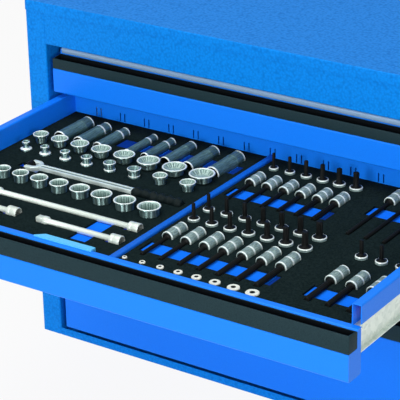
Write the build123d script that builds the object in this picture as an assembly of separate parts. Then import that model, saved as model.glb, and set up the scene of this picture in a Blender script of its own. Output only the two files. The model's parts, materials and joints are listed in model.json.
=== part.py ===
from build123d import *
import os

# Steel tool chest with its socket drawer pulled out. Millimetres, +Z up, the front towards -Y.
# The origin is the middle of the chest's underside, on the floor.

# Sheet steel, fits and cuts
sheet = 1.2
bend_r = 1.8
slide_gap = 0.35
seat_gap = 0.5
skirt_gap = 1.0
overrun = 5.0

# Chest
chest_w = 815.0
chest_d = 433.0
post_w = 35.0
post_return = 58.0
rear_return = 35.0
plinth_h = 12.0
plinth_gap = 4.0
fascia_h = 63.0
fascia_gap = 10.5
fascia_return = 25.0
cap_skirt = 14.0
cap_r = 4.0
upright_d = 26.0
upright_reach = 10.6
back_inset = 17.0

# Fasteners
rivet_d = 5.0
rivet_head_d = 8.0
rivet_head_h = 1.8
screw_d = 5.0
screw_head_d = 9.0
screw_head_h = 2.4
screw_end = 6.0
screw_margin = 60.0
screws_per_side = 4

# Drawers, measured from the inner edge of the front lip and from the foam's top
rear_room = 18.1
foam_top_t = 3.0
foam_base_t = 28.0
wall_above_foam = 31.0
upper_wall_above_foam = 9.0
flange_w = 12.0
skirt_above_foam = 6.0
lip_above_foam = 3.3
lip_d = 9.8
front_h = 62.0
deep_front_h = 162.0
front_overlap = 13.3
finger_gap = 36.0
open_by = 382.0

# Grip strip in the notch along the top of each front
grip_d = 20.1
grip_h = 24.5
grip_front_t = 3.2
grip_back_t = 1.6
grip_back_h = 22.5
grip_floor_t = 2.6
grip_groove_r = 4.0
grip_edge_r = 1.4

# Telescopic runners
runner_t = 12.7
runner_h = 45.0
runner_end = 5.0
runner_sheet = 1.5
fixed_flange = 10.5
middle_flange = 8.5
inner_flange = 7.0

# Slits in the socket tray's back wall, and the divider hooked into the middle pair
slit_pitches = 16
slit_w = 2.0
slit_h = 13.0
slit_pair = 8.0
slit_above_foam = 1.0
divider_w = 10.0
divider_above_foam = 4.0

# Blank clip-on holder on the front lip
holder_x = 225.5
holder_w = 92.0
holder_d = 10.0
holder_on_lip = 3.0
holder_t = 2.2
holder_slant = 12.0
holder_foot_t = 1.5

# Finger recesses in the black layer
deep_recess_x = 128.0
deep_recess_y = 306.0
deep_recess_margin = 9.5
deep_recess_d = 32.0
bar_recess_margin = 53.5
bar_recess_y = 22.0
bar_recess_w = 28.0
bar_recess_d = 75.0
bit_recess_gap = 15.0
bit_recess_d = 31.0
bit_recess_margin = 13.0

# Sockets that stand on their drive ends
drive = 9.6
drive_depth = 11.0
stand_depth = 20.0
socket_above_foam = 12.5
socket_chamfer = 0.8
point_share = 0.66
flare_share = 0.6
row_margin = 12.0
large_x = 29.0
large_y = 264.0
large_d = 23.3
large_step = 1.95
large_gap = 9.9
large_rim_h = 5.0
large_mouth = 6.0
large_shank_d = 16.5
large_shank_step = 0.3
small_y = 229.0
small_d = 11.3
small_step = 1.64
small_rim_h = 3.0
small_drive_d = 17.0
small_waist = 3.4
small_flange_above_foam = 2.4
small_shank_d = 15.0
medium_x = 32.3
medium_y = 136.5
medium_d = 20.8
medium_step = 1.45
medium_gap = 8.1
medium_rim_h = 2.0
medium_mouth = 15.0
medium_shank_share = 0.82

# Deep sockets that lie along Y, mouth to the front
lying_axis_z = 1.0
deep_len = 70.0
deep_drive_share = 0.34
deep_drive_cut = 3.0
deep_collar_h = 3.0
deep_mouth_depth = 30.0
deep_first_x = 48.0
deep_first_y = 283.0
deep_first_count = 3
deep_first_d = 23.0
deep_first_step = -2.4
deep_first_pitch = 34.0
deep_second_x = 164.0
deep_second_y = 288.0
deep_second_d = 13.2
deep_second_step = 2.35
deep_second_pitch = 31.0
deep_second_growth = 3.5
deep_drive_least = 10.6

# Hinged handle along X
handle_y = 183.0
fork_x = 80.0
fork_r = 13.5
fork_prong = 9.0
fork_slot = 13.0
fork_t = 9.0
pivot_x = 72.0
pivot_d = 5.0
pivot_gap = 0.08
head_r = 6.0
head_drive_len = 11.0
head_neck = 1.0
head_room = 1.5
bar_x = 90.0
bar_w = 10.5
bar_h = 8.0
bar_groove_w = 3.0
bar_groove_depth = 1.0
tang_d = 6.0
tang_len = 45.0
handle_grip_len = 81.0
handle_margin = 11.5
handle_grip_d = 16.0
handle_grip_dip = 1.2
handle_grip_lumps = 5
handle_grip_chamfer = 2.0

# Extension bars along X, with the female end to the right
bar_shaft_d = 8.6
bar_end_d = 16.0
bar_end_len = 16.0
bar_shoulder_d = 13.4
bar_shoulder_len = 8.0
long_bar_margin = 13.5
long_bar_y = 89.0
long_bar_len = 250.0
middle_bar_margin = 12.0
middle_bar_y = 46.0
middle_bar_len = 137.0
short_bar_gap = 32.5
short_bar_y = 46.0
short_bar_len = 79.0

# Bit sockets: a turned body with a pressed-in bit
bit_body_d = 16.6
bit_body_chamfer = 0.9
bit_groove_w = 1.6
bit_groove_depth = 0.8
bit_groove_shares = (0.35, 0.65)
bit_hole_d = 7.0
bit_hole_depth = 12.0
bit_press = 0.02
bit_ring_wall = 1.9
bit_collar_h = 0.8
bit_tip = 1.0
bit_body_above_foam = 3.6
stand_bit_len = 21.0
group_gap = 58.0
back_stand_x = 18.1
back_stand_y = 350.0
back_stand_pitch = 26.3
back_stand_d = 13.6
back_stand_step = 1.0
back_stand_bit = 4.0
back_stand_bit_step = 0.8
mid_stand_x = 17.5
mid_stand_back_y = 187.5
mid_stand_front_y = 151.5
mid_stand_pitch = 28.4
mid_stand_d = 16.2
mid_stand_step = 0.6
mid_stand_bit = 4.6
mid_stand_bit_step = 0.6
side_stand_margin = 23.9
side_stand_y = 167.0
side_stand_pitch = 28.8
side_stand_count = 3
side_stand_d = 16.6
side_stand_bit = 5.2
upper_lying_x = 18.5
upper_lying_y = 287.0
upper_lying_pitch = 26.6
upper_lying_body = 30.0
upper_lying_bit_len = 55.0
upper_lying_bit = 4.6
upper_lying_bit_step = 0.5
long_lying_margin = 24.6
long_lying_y = 330.0
long_lying_pitch = 26.6
long_lying_count = 5
long_lying_body = 32.0
long_lying_bit_len = 113.0
long_lying_bit = 5.0
lower_lying_x = 19.5
lower_lying_y = 86.5
lower_lying_pitch = 28.6
lower_lying_body = 37.0
lower_lying_bit_len = 57.0
lower_lying_bit = 5.0
lower_lying_bit_step = 0.45
side_lying_margin = 21.4
side_lying_y = 86.5
side_lying_pitch = 29.2
side_lying_count = 3
side_lying_body = 35.0
side_lying_bit_len = 57.0
side_lying_bit = 7.4

# Small sockets sunk along the front of the right insert
sunk_x = 6.0
sunk_y = 11.8
sunk_count = 8
sunk_pitch = 27.3
sunk_d = 6.6
sunk_step = 1.6
sunk_above_foam = 1.6
sunk_rim_share = 0.7

# Places that follow from the sizes above
tray_w = chest_w - 2 * (post_w + upright_reach + runner_t + sheet)
front_w = tray_w + 2 * front_overlap
front_d = lip_d + grip_d
tray_d = chest_d - front_d - rear_room
runner_len = tray_d + runner_end
half_w = chest_w / 2
chest_front = -chest_d / 2
chest_back = chest_d / 2
deep_lip_z = plinth_h + plinth_gap + deep_front_h
third_lip_z = deep_lip_z + finger_gap + front_h
socket_lip_z = third_lip_z + finger_gap + front_h
upper_lip_z = socket_lip_z + finger_gap + front_h
fascia_z = upper_lip_z + fascia_gap
panel_top = fascia_z + fascia_h
closed_y = chest_front + front_d
open_y = closed_y - open_by
tray_wall_x = tray_w / 2 + sheet
upright_x = tray_wall_x + runner_t
post_inner_x = half_w - post_w
back_inner_y = chest_back - 2 * sheet
runner_y = closed_y
runner_top = skirt_above_foam - skirt_gap
runner_mid_z = runner_top - runner_h / 2
front_upright_y = chest_front + post_return - upright_d
rear_upright_y = back_inner_y - upright_d
tray_floor = -foam_top_t - foam_base_t
foam_level = socket_lip_z - lip_above_foam
insert_w = (tray_w - divider_w) / 2 - 2 * seat_gap
insert_d = tray_d - 2 * seat_gap
left_end = seat_gap + insert_w
right_start = tray_w - left_end
bar_end_x = left_end - handle_margin - handle_grip_len
long_bar_x = left_end - long_bar_margin - long_bar_len
middle_bar_x = left_end - middle_bar_margin - middle_bar_len
short_bar_x = middle_bar_x - short_bar_gap - short_bar_len


def slab(low, high):
    """Box between two corners."""
    size = [b - a for a, b in zip(low, high)]
    middle = [(a + b) / 2 for a, b in zip(low, high)]
    return Pos(*middle) * Box(*size)


def rod(radius, low, high):
    """Upright cylinder between two heights."""
    return Pos(0, 0, (low + high) / 2) * Cylinder(radius, high - low)


def turned(points):
    """Solid turned about Z from half a profile of radii and heights."""
    return revolve(Plane.XZ * make_face(Polyline(*points, close=True)), Axis.Z)


def folded(points, plane, length):
    """Sheet bent along a line of points and drawn out along the plane's normal."""
    return extrude(plane * trace(FilletPolyline(*points, radius=bend_r), sheet), length)


def both_sides(piece):
    """A piece of the right side and its mirror image on the left."""
    return [piece, mirror(piece, about=Plane.YZ)]


def prism(sides, across, low, high):
    """Upright prism with flat sides, measured across its flats."""
    face = RegularPolygon(across / 2, sides, major_radius=False)
    return extrude(Pos(0, 0, low) * face, high - low)


def lying(piece):
    """Turn an upright piece so that its top points to the front."""
    return Rot(90, 0, 0) * piece


def along_x(piece):
    """Turn an upright piece so that its top points to the right."""
    return Rot(0, 90, 0) * piece


def at(x, y, z):
    """Place in the open socket drawer, from its left wall, its front lip and the foam's top."""
    return Pos(x - tray_w / 2, open_y + y, foam_level + z)


def row_places(first, diameter, step, gap):
    """Places of a row of growing pieces the same gap apart, as many as the left insert holds."""
    places = []
    x, size = first, diameter
    while x + size / 2 + row_margin <= insert_w:
        places.append(x)
        x += size + step / 2 + gap
        size += step
    return places


def count_to(first, pitch, last):
    """How many pieces stand from the first place up to the last."""
    return 1 + int((last - first) // pitch)


def save(node, pieces):
    """Write one named piece, or a group of like pieces, to its own file."""
    solids = [solid for piece in pieces for solid in piece.solids()]
    shape = solids[0] if len(solids) == 1 else Compound(solids)
    export_step(shape, os.path.join("parts", node + ".step"))


def side_panel():
    """Right side panel: skin, front post with its return, and rear return."""
    inset = sheet / 2
    points = [
        (post_inner_x + inset, chest_front + post_return),
        (post_inner_x + inset, chest_front + inset),
        (half_w - inset, chest_front + inset),
        (half_w - inset, chest_back - inset),
        (half_w - rear_return, chest_back - inset),
    ]
    return folded(points, Plane.XY, panel_top) - base_floor()


def base_floor():
    """Floor sheet of the chest."""
    low = (-half_w + sheet, chest_front + sheet, 0)
    return slab(low, (half_w - sheet, back_inner_y, sheet))


def base_panel():
    """Floor sheet with the plinth flange between the posts."""
    low = (-post_inner_x, chest_front, 0)
    flange = slab(low, (post_inner_x, chest_front + sheet, plinth_h))
    return base_floor() + flange


def back_places():
    """Places of the back panel's screws: X and Z."""
    x = half_w - (rear_return + back_inset) / 2
    span = panel_top - 2 * screw_margin
    heights = [screw_margin + span * index / (screws_per_side - 1) for index in range(screws_per_side)]
    return [(side * x, z) for side in (-1, 1) for z in heights]


def screw_holes():
    """Holes for the back panel's screws, through the panel and the rear returns."""
    start = back_inner_y - overrun
    length = chest_back + overrun - start
    hole = lying(rod(screw_d / 2, -length, 0))
    return [Pos(x, start, z) * hole for x, z in back_places()]


def back_panel():
    """Back sheet inside the rear returns."""
    x = half_w - back_inset
    return slab((-x, back_inner_y, sheet), (x, chest_back - sheet, panel_top)) - screw_holes()


def back_screws():
    """Domed screws that hold the back panel to the rear returns."""
    edge = screw_head_d / 2
    points = [
        (0, -screw_end),
        (screw_d / 2, -screw_end),
        (screw_d / 2, 0),
        (edge, 0),
        (edge, screw_head_h / 2),
        (edge / 2, screw_head_h),
        (0, screw_head_h),
    ]
    screw = Rot(-90, 0, 0) * turned(points)
    return [Pos(x, chest_back, z) * screw for x, z in back_places()]


def top_panel():
    """Cap that folds down over the tops of the side panels."""
    high = (half_w + sheet, chest_back + sheet, panel_top + sheet)
    low = (-half_w - sheet, chest_front - sheet, panel_top - cap_skirt)
    outer = slab(low, high)
    outer = fillet(outer.edges().filter_by(Axis.Z), cap_r)
    outer = fillet(outer.faces().sort_by(Axis.Z)[-1].edges(), bend_r)
    room_low = (-half_w, chest_front, panel_top - cap_skirt - overrun)
    return outer - slab(room_low, (half_w, chest_back, panel_top))


def front_fascia():
    """Rail above the drawers, its edges turned back."""
    inset = sheet / 2
    points = [
        (chest_front + fascia_return, fascia_z + inset),
        (chest_front + inset, fascia_z + inset),
        (chest_front + inset, panel_top - inset),
        (chest_front + fascia_return, panel_top - inset),
    ]
    return Pos(-post_inner_x, 0, 0) * folded(points, Plane.YZ, 2 * post_inner_x)


def runner_levels():
    """Heights of the runners' middles, one for each drawer."""
    lips = (deep_lip_z, third_lip_z, socket_lip_z, upper_lip_z)
    return [lip - lip_above_foam + runner_mid_z for lip in lips]


def rivet_places():
    """Y of the two rivets of a fixed runner, in the middle of its grip on each upright."""
    front = front_upright_y + upright_d / 2
    rear = (rear_upright_y + runner_y + runner_len) / 2
    return [front, rear]


def rivet_holes():
    """Holes for the rivets of the right side."""
    length = 2 * (runner_sheet + sheet)
    hole = along_x(rod(rivet_d / 2, -length, length))
    return [Pos(upright_x, y, z) * hole for y in rivet_places() for z in runner_levels()]


def runner_uprights():
    """Channels at the front and back of each side that carry the runners."""
    inset = sheet / 2
    uprights = []
    for y in (front_upright_y, rear_upright_y):
        points = [
            (post_inner_x, y + inset),
            (upright_x + inset, y + inset),
            (upright_x + inset, y + upright_d - inset),
            (post_inner_x, y + upright_d - inset),
        ]
        upright = Pos(0, 0, sheet) * folded(points, Plane.XY, fascia_z - sheet)
        uprights += both_sides(upright - rivet_holes())
    return uprights


def channel(web_x, flange, height, y, length):
    """Runner member of the right side: web at web_x, flanges towards +X or -X."""
    half = height / 2
    inner = half - runner_sheet
    sign = 1 if flange > 0 else -1
    outer = slab((min(web_x, web_x + flange), y, -half), (max(web_x, web_x + flange), y + length, half))
    first = web_x + sign * runner_sheet
    last = web_x + flange + sign * overrun
    room = slab((min(first, last), y - overrun, -inner), (max(first, last), y + length + overrun, inner))
    return outer - room


def fixed_runners():
    """Runner members riveted to the uprights, a pair for each drawer."""
    member = channel(upright_x, -fixed_flange, runner_h, runner_y, runner_len)
    runners = []
    for z in runner_levels():
        runners += both_sides(Pos(0, 0, z) * member - rivet_holes())
    return runners


def runner_rivets():
    """Rivets that hold the fixed runners, flush inside the runner."""
    points = [
        (0, -runner_sheet),
        (rivet_d / 2, -runner_sheet),
        (rivet_d / 2, sheet),
        (rivet_head_d / 2, sheet),
        (rivet_d / 2, sheet + rivet_head_h),
        (0, sheet + rivet_head_h),
    ]
    rivet = along_x(turned(points))
    rivets = []
    for y in rivet_places():
        for z in runner_levels():
            rivets += both_sides(Pos(upright_x, y, z) * rivet)
    return rivets


def middle_runners():
    """Middle members of a drawer's two runners, pushed in."""
    height = runner_h - 2 * (runner_sheet + slide_gap)
    web_x = upright_x - runner_sheet - slide_gap
    member = channel(web_x, -middle_flange, height, runner_y, runner_len)
    return both_sides(Pos(0, 0, runner_mid_z) * member)


def inner_runners():
    """Inner members of a drawer's two runners, on the tray's walls."""
    height = runner_h - 4 * (runner_sheet + slide_gap)
    member = channel(tray_wall_x, inner_flange, height, closed_y, tray_d)
    return both_sides(Pos(0, 0, runner_mid_z) * member)


def tray(floor, wall_top, slit):
    """Drawer tray at its closed place: flanged side walls, back wall and low front wall."""
    inset = sheet / 2
    wall = tray_w / 2 + inset
    skirt = tray_wall_x + flange_w - inset
    top = wall_top - inset
    half = [(skirt, skirt_above_foam), (skirt, top), (wall, top), (wall, floor - inset)]
    points = half + [(-x, z) for x, z in reversed(half)]
    line = trace(FilletPolyline(*points, radius=bend_r), sheet)
    rear_y = closed_y + tray_d
    shell = Pos(0, rear_y + sheet, 0) * extrude(Plane.XZ * line, tray_d + sheet)
    front_low = (-tray_wall_x, closed_y - sheet, floor - sheet)
    front_wall = slab(front_low, (tray_wall_x, closed_y, lip_above_foam - sheet))
    rear_low = (-tray_w / 2, rear_y, floor)
    rear_wall = slab(rear_low, (tray_w / 2, rear_y + sheet, top))
    body = shell + front_wall + rear_wall
    return body - back_slits() if slit else body


def back_slits():
    """Pairs of slits through the back wall, just above the foam."""
    pitch = tray_w / slit_pitches
    wall_y = closed_y + tray_d
    slits = []
    for index in range(1, slit_pitches):
        for side in (-1, 1):
            x = pitch * index - tray_w / 2 + side * slit_pair / 2
            low = (x - slit_w / 2, wall_y - overrun, slit_above_foam)
            high = (x + slit_w / 2, wall_y + sheet + overrun, slit_above_foam + slit_h)
            slits.append(slab(low, high))
    return slits


def front(height):
    """Double-walled front at its closed place: lip, notch for the grip strip, panel and end plates."""
    inset = sheet / 2
    lip = lip_above_foam - inset
    notch = lip_above_foam - grip_h - inset
    foot = lip_above_foam - height + inset
    riser_y = closed_y - lip_d + inset
    face_y = closed_y - front_d + inset
    rear_y = closed_y - sheet - inset
    outline = [
        (closed_y, lip),
        (riser_y, lip),
        (riser_y, notch),
        (face_y, notch),
        (face_y, foot),
        (rear_y, foot),
        (rear_y, lip - sheet),
    ]
    panel = Pos(-front_w / 2, 0, 0) * folded(outline, Plane.YZ, front_w)
    plate_line = [(rear_y, lip)] + outline[1:6]
    plate = make_face(FilletPolyline(*plate_line, radius=bend_r, close=True))
    right = Pos(front_w / 2 - sheet, 0, 0) * extrude(Plane.YZ * plate, sheet)
    for end in both_sides(right):
        panel = panel + end
    return panel


def grip_strip():
    """Finger grip along the notch at its closed place, open at the top."""
    low = lip_above_foam - grip_h
    start = closed_y - front_d
    outer = Pos(grip_d / 2, grip_h / 2) * Rectangle(grip_d, grip_h)
    groove_w = grip_d - grip_front_t - grip_back_t
    groove = Pos(grip_front_t + groove_w / 2, grip_floor_t + grip_h / 2) * Rectangle(groove_w, grip_h)
    groove = fillet(groove.vertices().sort_by(Axis.Y)[:2], grip_groove_r)
    above = Pos(grip_d, grip_back_h + grip_h / 2) * Rectangle(2 * grip_back_t, grip_h)
    profile = outer - groove - above
    front_top = profile.vertices().filter_by(lambda v: v.Y > grip_h - grip_edge_r)
    profile = fillet(front_top, grip_edge_r)
    heel = profile.vertices().filter_by(lambda v: v.X > grip_d - bend_r and v.Y < bend_r)
    profile = fillet(heel, bend_r)
    strip = extrude(Plane.YZ * profile, front_w)
    return Pos(-front_w / 2, start, low) * strip


def divider():
    """Folded strip between the inserts, from the front wall to the back wall."""
    inset = sheet / 2
    leg = divider_w / 2 - inset
    top = divider_above_foam - inset
    points = [(-leg, tray_floor), (-leg, top), (leg, top), (leg, tray_floor)]
    line = trace(FilletPolyline(*points, radius=bend_r), sheet)
    strip = Pos(0, tray_d, 0) * extrude(Plane.XZ * line, tray_d)
    return at(tray_w / 2, 0, 0) * strip


def label_holder():
    """Blank holder that rests on the lip and on the foam behind it."""
    low = (0, -holder_on_lip, lip_above_foam)
    plate = slab(low, (holder_w, holder_d - holder_on_lip, lip_above_foam + holder_t))
    foot_y = holder_d - holder_on_lip
    foot = slab((holder_slant, foot_y - holder_foot_t, 0), (holder_w, foot_y, lip_above_foam + holder_t))
    slant = Polyline((0, -holder_on_lip), (holder_slant, foot_y), (0, foot_y), close=True)
    corner = extrude(make_face(slant), lip_above_foam + holder_t + overrun)
    return at(holder_x, 0, 0) * (plate + foot - corner)


def twelve_points(across, depth, top):
    """Twelve-point mouth cut down from the top, with a lead-in."""
    radius = across / 2
    hexagon = prism(6, across, top - depth, top + overrun)
    star = hexagon + Rot(0, 0, 30) * hexagon
    lead = Pos(0, 0, top) * Cone(radius, radius + 2 * socket_chamfer, 2 * socket_chamfer)
    return star + lead


def square_hole(depth, low):
    """Square drive hole cut up from the bottom."""
    return slab((-drive / 2, -drive / 2, low - overrun), (drive / 2, drive / 2, low + depth))


def standing_socket(rim_d, shank_d, rim_h, mouth_depth):
    """Socket on its drive end, the foam's top at height zero."""
    above = socket_above_foam
    rim = rim_d / 2
    shank = shank_d / 2
    flare = abs(rim - shank) * flare_share
    cut = socket_chamfer
    points = [
        (0, -stand_depth),
        (shank - cut, -stand_depth),
        (shank, -stand_depth + cut),
        (shank, above - rim_h - flare),
        (rim, above - rim_h),
        (rim, above - cut),
        (rim - cut, above),
        (0, above),
    ]
    mouth = twelve_points(rim_d * point_share, mouth_depth, above)
    return turned(points) - mouth - square_hole(drive_depth, -stand_depth)


def spool_socket(rim_d):
    """Small socket with a wide drive end, a waist and a narrow mouth."""
    above = socket_above_foam
    rim = rim_d / 2
    base = small_drive_d / 2
    waist = rim - small_waist / 2
    flange = small_flange_above_foam
    cut = socket_chamfer
    points = [
        (0, -stand_depth),
        (base - cut, -stand_depth),
        (base, -stand_depth + cut),
        (base, flange - cut),
        (base - cut, flange),
        (waist, flange + (base - waist) * flare_share),
        (waist, above - small_rim_h - cut),
        (rim, above - small_rim_h),
        (rim, above - cut),
        (rim - cut, above),
        (0, above),
    ]
    mouth = twelve_points(rim_d * point_share, small_rim_h, above)
    return turned(points) - mouth - square_hole(drive_depth, -stand_depth)


def pocket(diameter, depth):
    """Round pocket for a standing piece, through the foam's top."""
    return rod(diameter / 2 + seat_gap, -depth, overrun)


def large_places():
    """Places along the row of large sockets, shared with the small sockets in front."""
    return row_places(large_x, large_d, large_step, large_gap)


def large_sockets(cuts):
    """Row of large sockets; their pockets are added to the cuts."""
    pieces = []
    for index, x in enumerate(large_places()):
        rim_d = large_d + large_step * index
        shank_d = large_shank_d + large_shank_step * index
        pieces.append(at(x, large_y, 0) * standing_socket(rim_d, shank_d, large_rim_h, large_mouth))
        cuts.append(at(x, large_y, 0) * pocket(shank_d, stand_depth))
    return pieces


def small_sockets(cuts):
    """Row of small sockets; the ones narrower than their drive ends are spools."""
    pieces = []
    for index, x in enumerate(large_places()):
        rim_d = small_d + small_step * index
        if rim_d < small_drive_d + small_waist:
            piece = spool_socket(rim_d)
            base_d = small_drive_d
        else:
            piece = standing_socket(rim_d, small_shank_d, small_rim_h, small_rim_h)
            base_d = small_shank_d
        pieces.append(at(x, small_y, 0) * piece)
        cuts.append(at(x, small_y, 0) * pocket(base_d, stand_depth))
    return pieces


def medium_sockets(cuts):
    """Row of medium sockets with shanks a little narrower than their rims."""
    pieces = []
    places = row_places(medium_x, medium_d, medium_step, medium_gap)
    for index, x in enumerate(places):
        rim_d = medium_d + medium_step * index
        shank_d = rim_d * medium_shank_share
        pieces.append(at(x, medium_y, 0) * standing_socket(rim_d, shank_d, medium_rim_h, medium_mouth))
        cuts.append(at(x, medium_y, 0) * pocket(shank_d, stand_depth))
    return pieces


def deep_socket(diameter):
    """Deep socket along Z: mouth at the top, a collar and a narrower drive end below."""
    outer = diameter / 2
    neck = max(outer - deep_drive_cut / 2, deep_drive_least / 2 + socket_chamfer)
    step = deep_len * deep_drive_share
    cut = socket_chamfer
    points = [
        (0, 0),
        (neck - cut, 0),
        (neck, cut),
        (neck, step - deep_collar_h / 2),
        (outer, step),
        (outer, deep_len - cut),
        (outer - cut, deep_len),
        (0, deep_len),
    ]
    hole = min(drive, neck)
    square = slab((-hole / 2, -hole / 2, -overrun), (hole / 2, hole / 2, drive_depth))
    return turned(points) - twelve_points(diameter * point_share, deep_mouth_depth, deep_len) - square


def deep_places():
    """X, back end Y and diameter of each deep socket."""
    places = []
    for index in range(deep_first_count):
        x = deep_first_x + deep_first_pitch * index
        places.append((x, deep_first_y + deep_len, deep_first_d + deep_first_step * index))
    x, diameter, pitch = deep_second_x, deep_second_d, deep_second_pitch
    while x + diameter / 2 + row_margin <= insert_w:
        places.append((x, deep_second_y + deep_len, diameter))
        x += pitch
        diameter += deep_second_step
        pitch += deep_second_growth
    return places


def trough(diameter, low, high):
    """Round trough for a lying piece, between two heights along its axis."""
    return rod(diameter / 2 + seat_gap, low - seat_gap, high + seat_gap)


def deep_sockets(cuts):
    """Two groups of deep sockets, lying with their mouths to the front."""
    pieces = []
    for x, y, diameter in deep_places():
        pieces.append(at(x, y, lying_axis_z) * lying(deep_socket(diameter)))
        cuts.append(at(x, y, lying_axis_z) * lying(trough(diameter, 0, deep_len)))
    return pieces


def handle_bar():
    """Forked bar of the hinged handle, with a groove along its top and a tang in the grip."""
    outline = Circle(fork_r) + Pos(-fork_prong / 2, 0) * Rectangle(fork_prong, 2 * fork_r)
    ring = outline - Pos(-fork_r, 0) * Rectangle(2 * fork_r, fork_slot) - Circle(fork_slot / 2)
    fork = extrude(ring, fork_t / 2, both=True)
    hole = lying(rod(pivot_d / 2, -fork_r - overrun, fork_r + overrun))
    fork = fork - Pos(pivot_x - fork_x, 0, 0) * hole
    edge = bar_w / 2
    top = bar_h / 2
    end_x = bar_end_x - fork_x
    bar = slab((bar_x - fork_x, -edge, -top), (end_x, edge, top))
    bar = chamfer(bar.edges().filter_by(Axis.X), bar_groove_depth)
    groove_low = (fork_r, -bar_groove_w / 2, top - bar_groove_depth)
    bar = bar - slab(groove_low, (end_x, bar_groove_w / 2, top + overrun))
    tang = Pos(end_x, 0, 0) * along_x(rod(tang_d / 2, 0, tang_len))
    return at(fork_x, handle_y, lying_axis_z) * (fork + bar + tang)


def pivot_pin():
    """Pin across the fork, through the drive head."""
    pin = lying(rod(pivot_d / 2 - pivot_gap, -fork_r, fork_r))
    return at(pivot_x, handle_y, lying_axis_z) * pin


def drive_head():
    """Square drive on a round knuckle, pointing down into the foam."""
    half = fork_slot / 2 - slide_gap
    knuckle = lying(rod(head_r, -half, half))
    square_top = -head_r + head_neck
    square = slab((-drive / 2, -drive / 2, square_top - head_drive_len), (drive / 2, drive / 2, 0))
    square = chamfer(square.faces().sort_by(Axis.Z)[0].edges(), socket_chamfer)
    hole = lying(rod(pivot_d / 2, -fork_r, fork_r))
    return at(pivot_x, handle_y, lying_axis_z) * (knuckle + square - hole)


def handle_grip():
    """Lumpy grip on the end of the bar."""
    crest = handle_grip_d / 2
    pitch = handle_grip_len / handle_grip_lumps
    points = [(0, 0), (crest - handle_grip_chamfer, 0)]
    for index in range(handle_grip_lumps):
        points.append((crest, pitch * index + handle_grip_chamfer))
        points.append((crest, pitch * (index + 1) - 2 * handle_grip_chamfer))
        points.append((crest - handle_grip_dip, pitch * (index + 1) - handle_grip_chamfer))
    points += [(crest - 2 * handle_grip_dip, handle_grip_len), (0, handle_grip_len)]
    bore = rod(tang_d / 2, -overrun, tang_len)
    return at(bar_end_x, handle_y, lying_axis_z) * along_x(turned(points) - bore)


def handle_room():
    """Room in the foam for the hinged handle and the swing of its drive head."""
    reach = head_r - head_neck + head_drive_len + head_room
    width = fork_slot / 2
    fork_half = fork_r + seat_gap
    fork_low = (fork_x - fork_half, -fork_half, -fork_t / 2 - seat_gap)
    fork = slab(fork_low, (fork_x + fork_half, fork_half, overrun))
    swing = slab((pivot_x - reach, -width, -reach), (pivot_x + head_r + head_room, width, overrun))
    bar_low = (bar_x - overrun, -bar_w / 2 - seat_gap, -bar_h / 2 - seat_gap)
    bar = slab(bar_low, (bar_end_x, bar_w / 2 + seat_gap, overrun))
    grip = Pos(bar_end_x, 0, 0) * along_x(trough(handle_grip_d, 0, handle_grip_len))
    return [at(0, handle_y, lying_axis_z) * room for room in (fork, swing, bar, grip)]


def extension(length):
    """Extension bar along Z: square end, shoulder, shaft and female end."""
    shaft = bar_shaft_d / 2
    shoulder = bar_shoulder_d / 2
    end = bar_end_d / 2
    cut = socket_chamfer
    square_len = drive_depth
    end_low = length - bar_end_len
    points = [
        (0, square_len - cut),
        (shoulder - cut, square_len - cut),
        (shoulder, square_len),
        (shoulder, square_len + bar_shoulder_len - cut),
        (shaft, square_len + bar_shoulder_len + cut),
        (shaft, end_low - (end - shaft) * flare_share),
        (end, end_low),
        (end, length - cut),
        (end - cut, length),
        (0, length),
    ]
    square = slab((-drive / 2, -drive / 2, 0), (drive / 2, drive / 2, square_len))
    square = chamfer(square.faces().sort_by(Axis.Z)[0].edges(), cut)
    hole = slab((-drive / 2, -drive / 2, length - drive_depth), (drive / 2, drive / 2, length + overrun))
    return turned(points) + square - hole


def extension_at(x, y, length, cuts):
    """Extension bar in its place; its troughs are added to the cuts."""
    place = at(x, y, lying_axis_z)
    cuts.append(place * along_x(trough(bar_shoulder_d, 0, drive_depth + bar_shoulder_len)))
    cuts.append(place * along_x(trough(bar_shaft_d, drive_depth, length - bar_end_len)))
    cuts.append(place * along_x(trough(bar_end_d, length - bar_end_len - bar_end_d / 2, length)))
    return place * along_x(extension(length))


def bit_body(diameter, length):
    """Body of a bit socket along Z, its top at height zero, with turned grooves and a drive hole."""
    outer = diameter / 2
    cut = bit_body_chamfer
    points = [(0, -length), (outer - cut, -length), (outer, -length + cut)]
    for share in bit_groove_shares:
        middle = -length + length * share
        half = bit_groove_w / 2
        points.append((outer, middle - half))
        points.append((outer - bit_groove_depth, middle - half))
        points.append((outer - bit_groove_depth, middle + half))
        points.append((outer, middle + half))
    points += [(outer, -cut), (outer - cut, 0), (0, 0)]
    hole = rod(bit_hole_d / 2, -bit_hole_depth, overrun)
    return turned(points) - hole - square_hole(length - bit_hole_depth - 2 * bit_groove_w, -length)


def bit(body_d, across, length):
    """Black bit along Z: shank in the body, collar on its face, six-sided blade with a blunt tip."""
    collar = body_d / 2 - bit_ring_wall
    blade = across / 2
    points = [
        (0, -bit_hole_depth),
        (bit_hole_d / 2 - bit_press, -bit_hole_depth),
        (bit_hole_d / 2 - bit_press, 0),
        (collar, 0),
        (collar, bit_collar_h / 2),
        (blade, bit_collar_h),
        (0, bit_collar_h),
    ]
    shaft = prism(6, across, bit_collar_h / 2, length)
    shaft = chamfer(shaft.faces().sort_by(Axis.Z)[-1].edges(), min(bit_tip, across * flare_share / 2))
    return turned(points) + shaft


def standing_bits(places, bodies, bits, cuts):
    """Bit sockets that stand in the foam: X, Y, body diameter and bit size of each."""
    body_len = stand_depth + bit_body_above_foam
    for x, y, body_d, across in places:
        top = at(x, y, bit_body_above_foam)
        bodies.append(top * bit_body(body_d, body_len))
        bits.append(top * bit(body_d, across, stand_bit_len))
        cuts.append(at(x, y, 0) * pocket(body_d, stand_depth))


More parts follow.
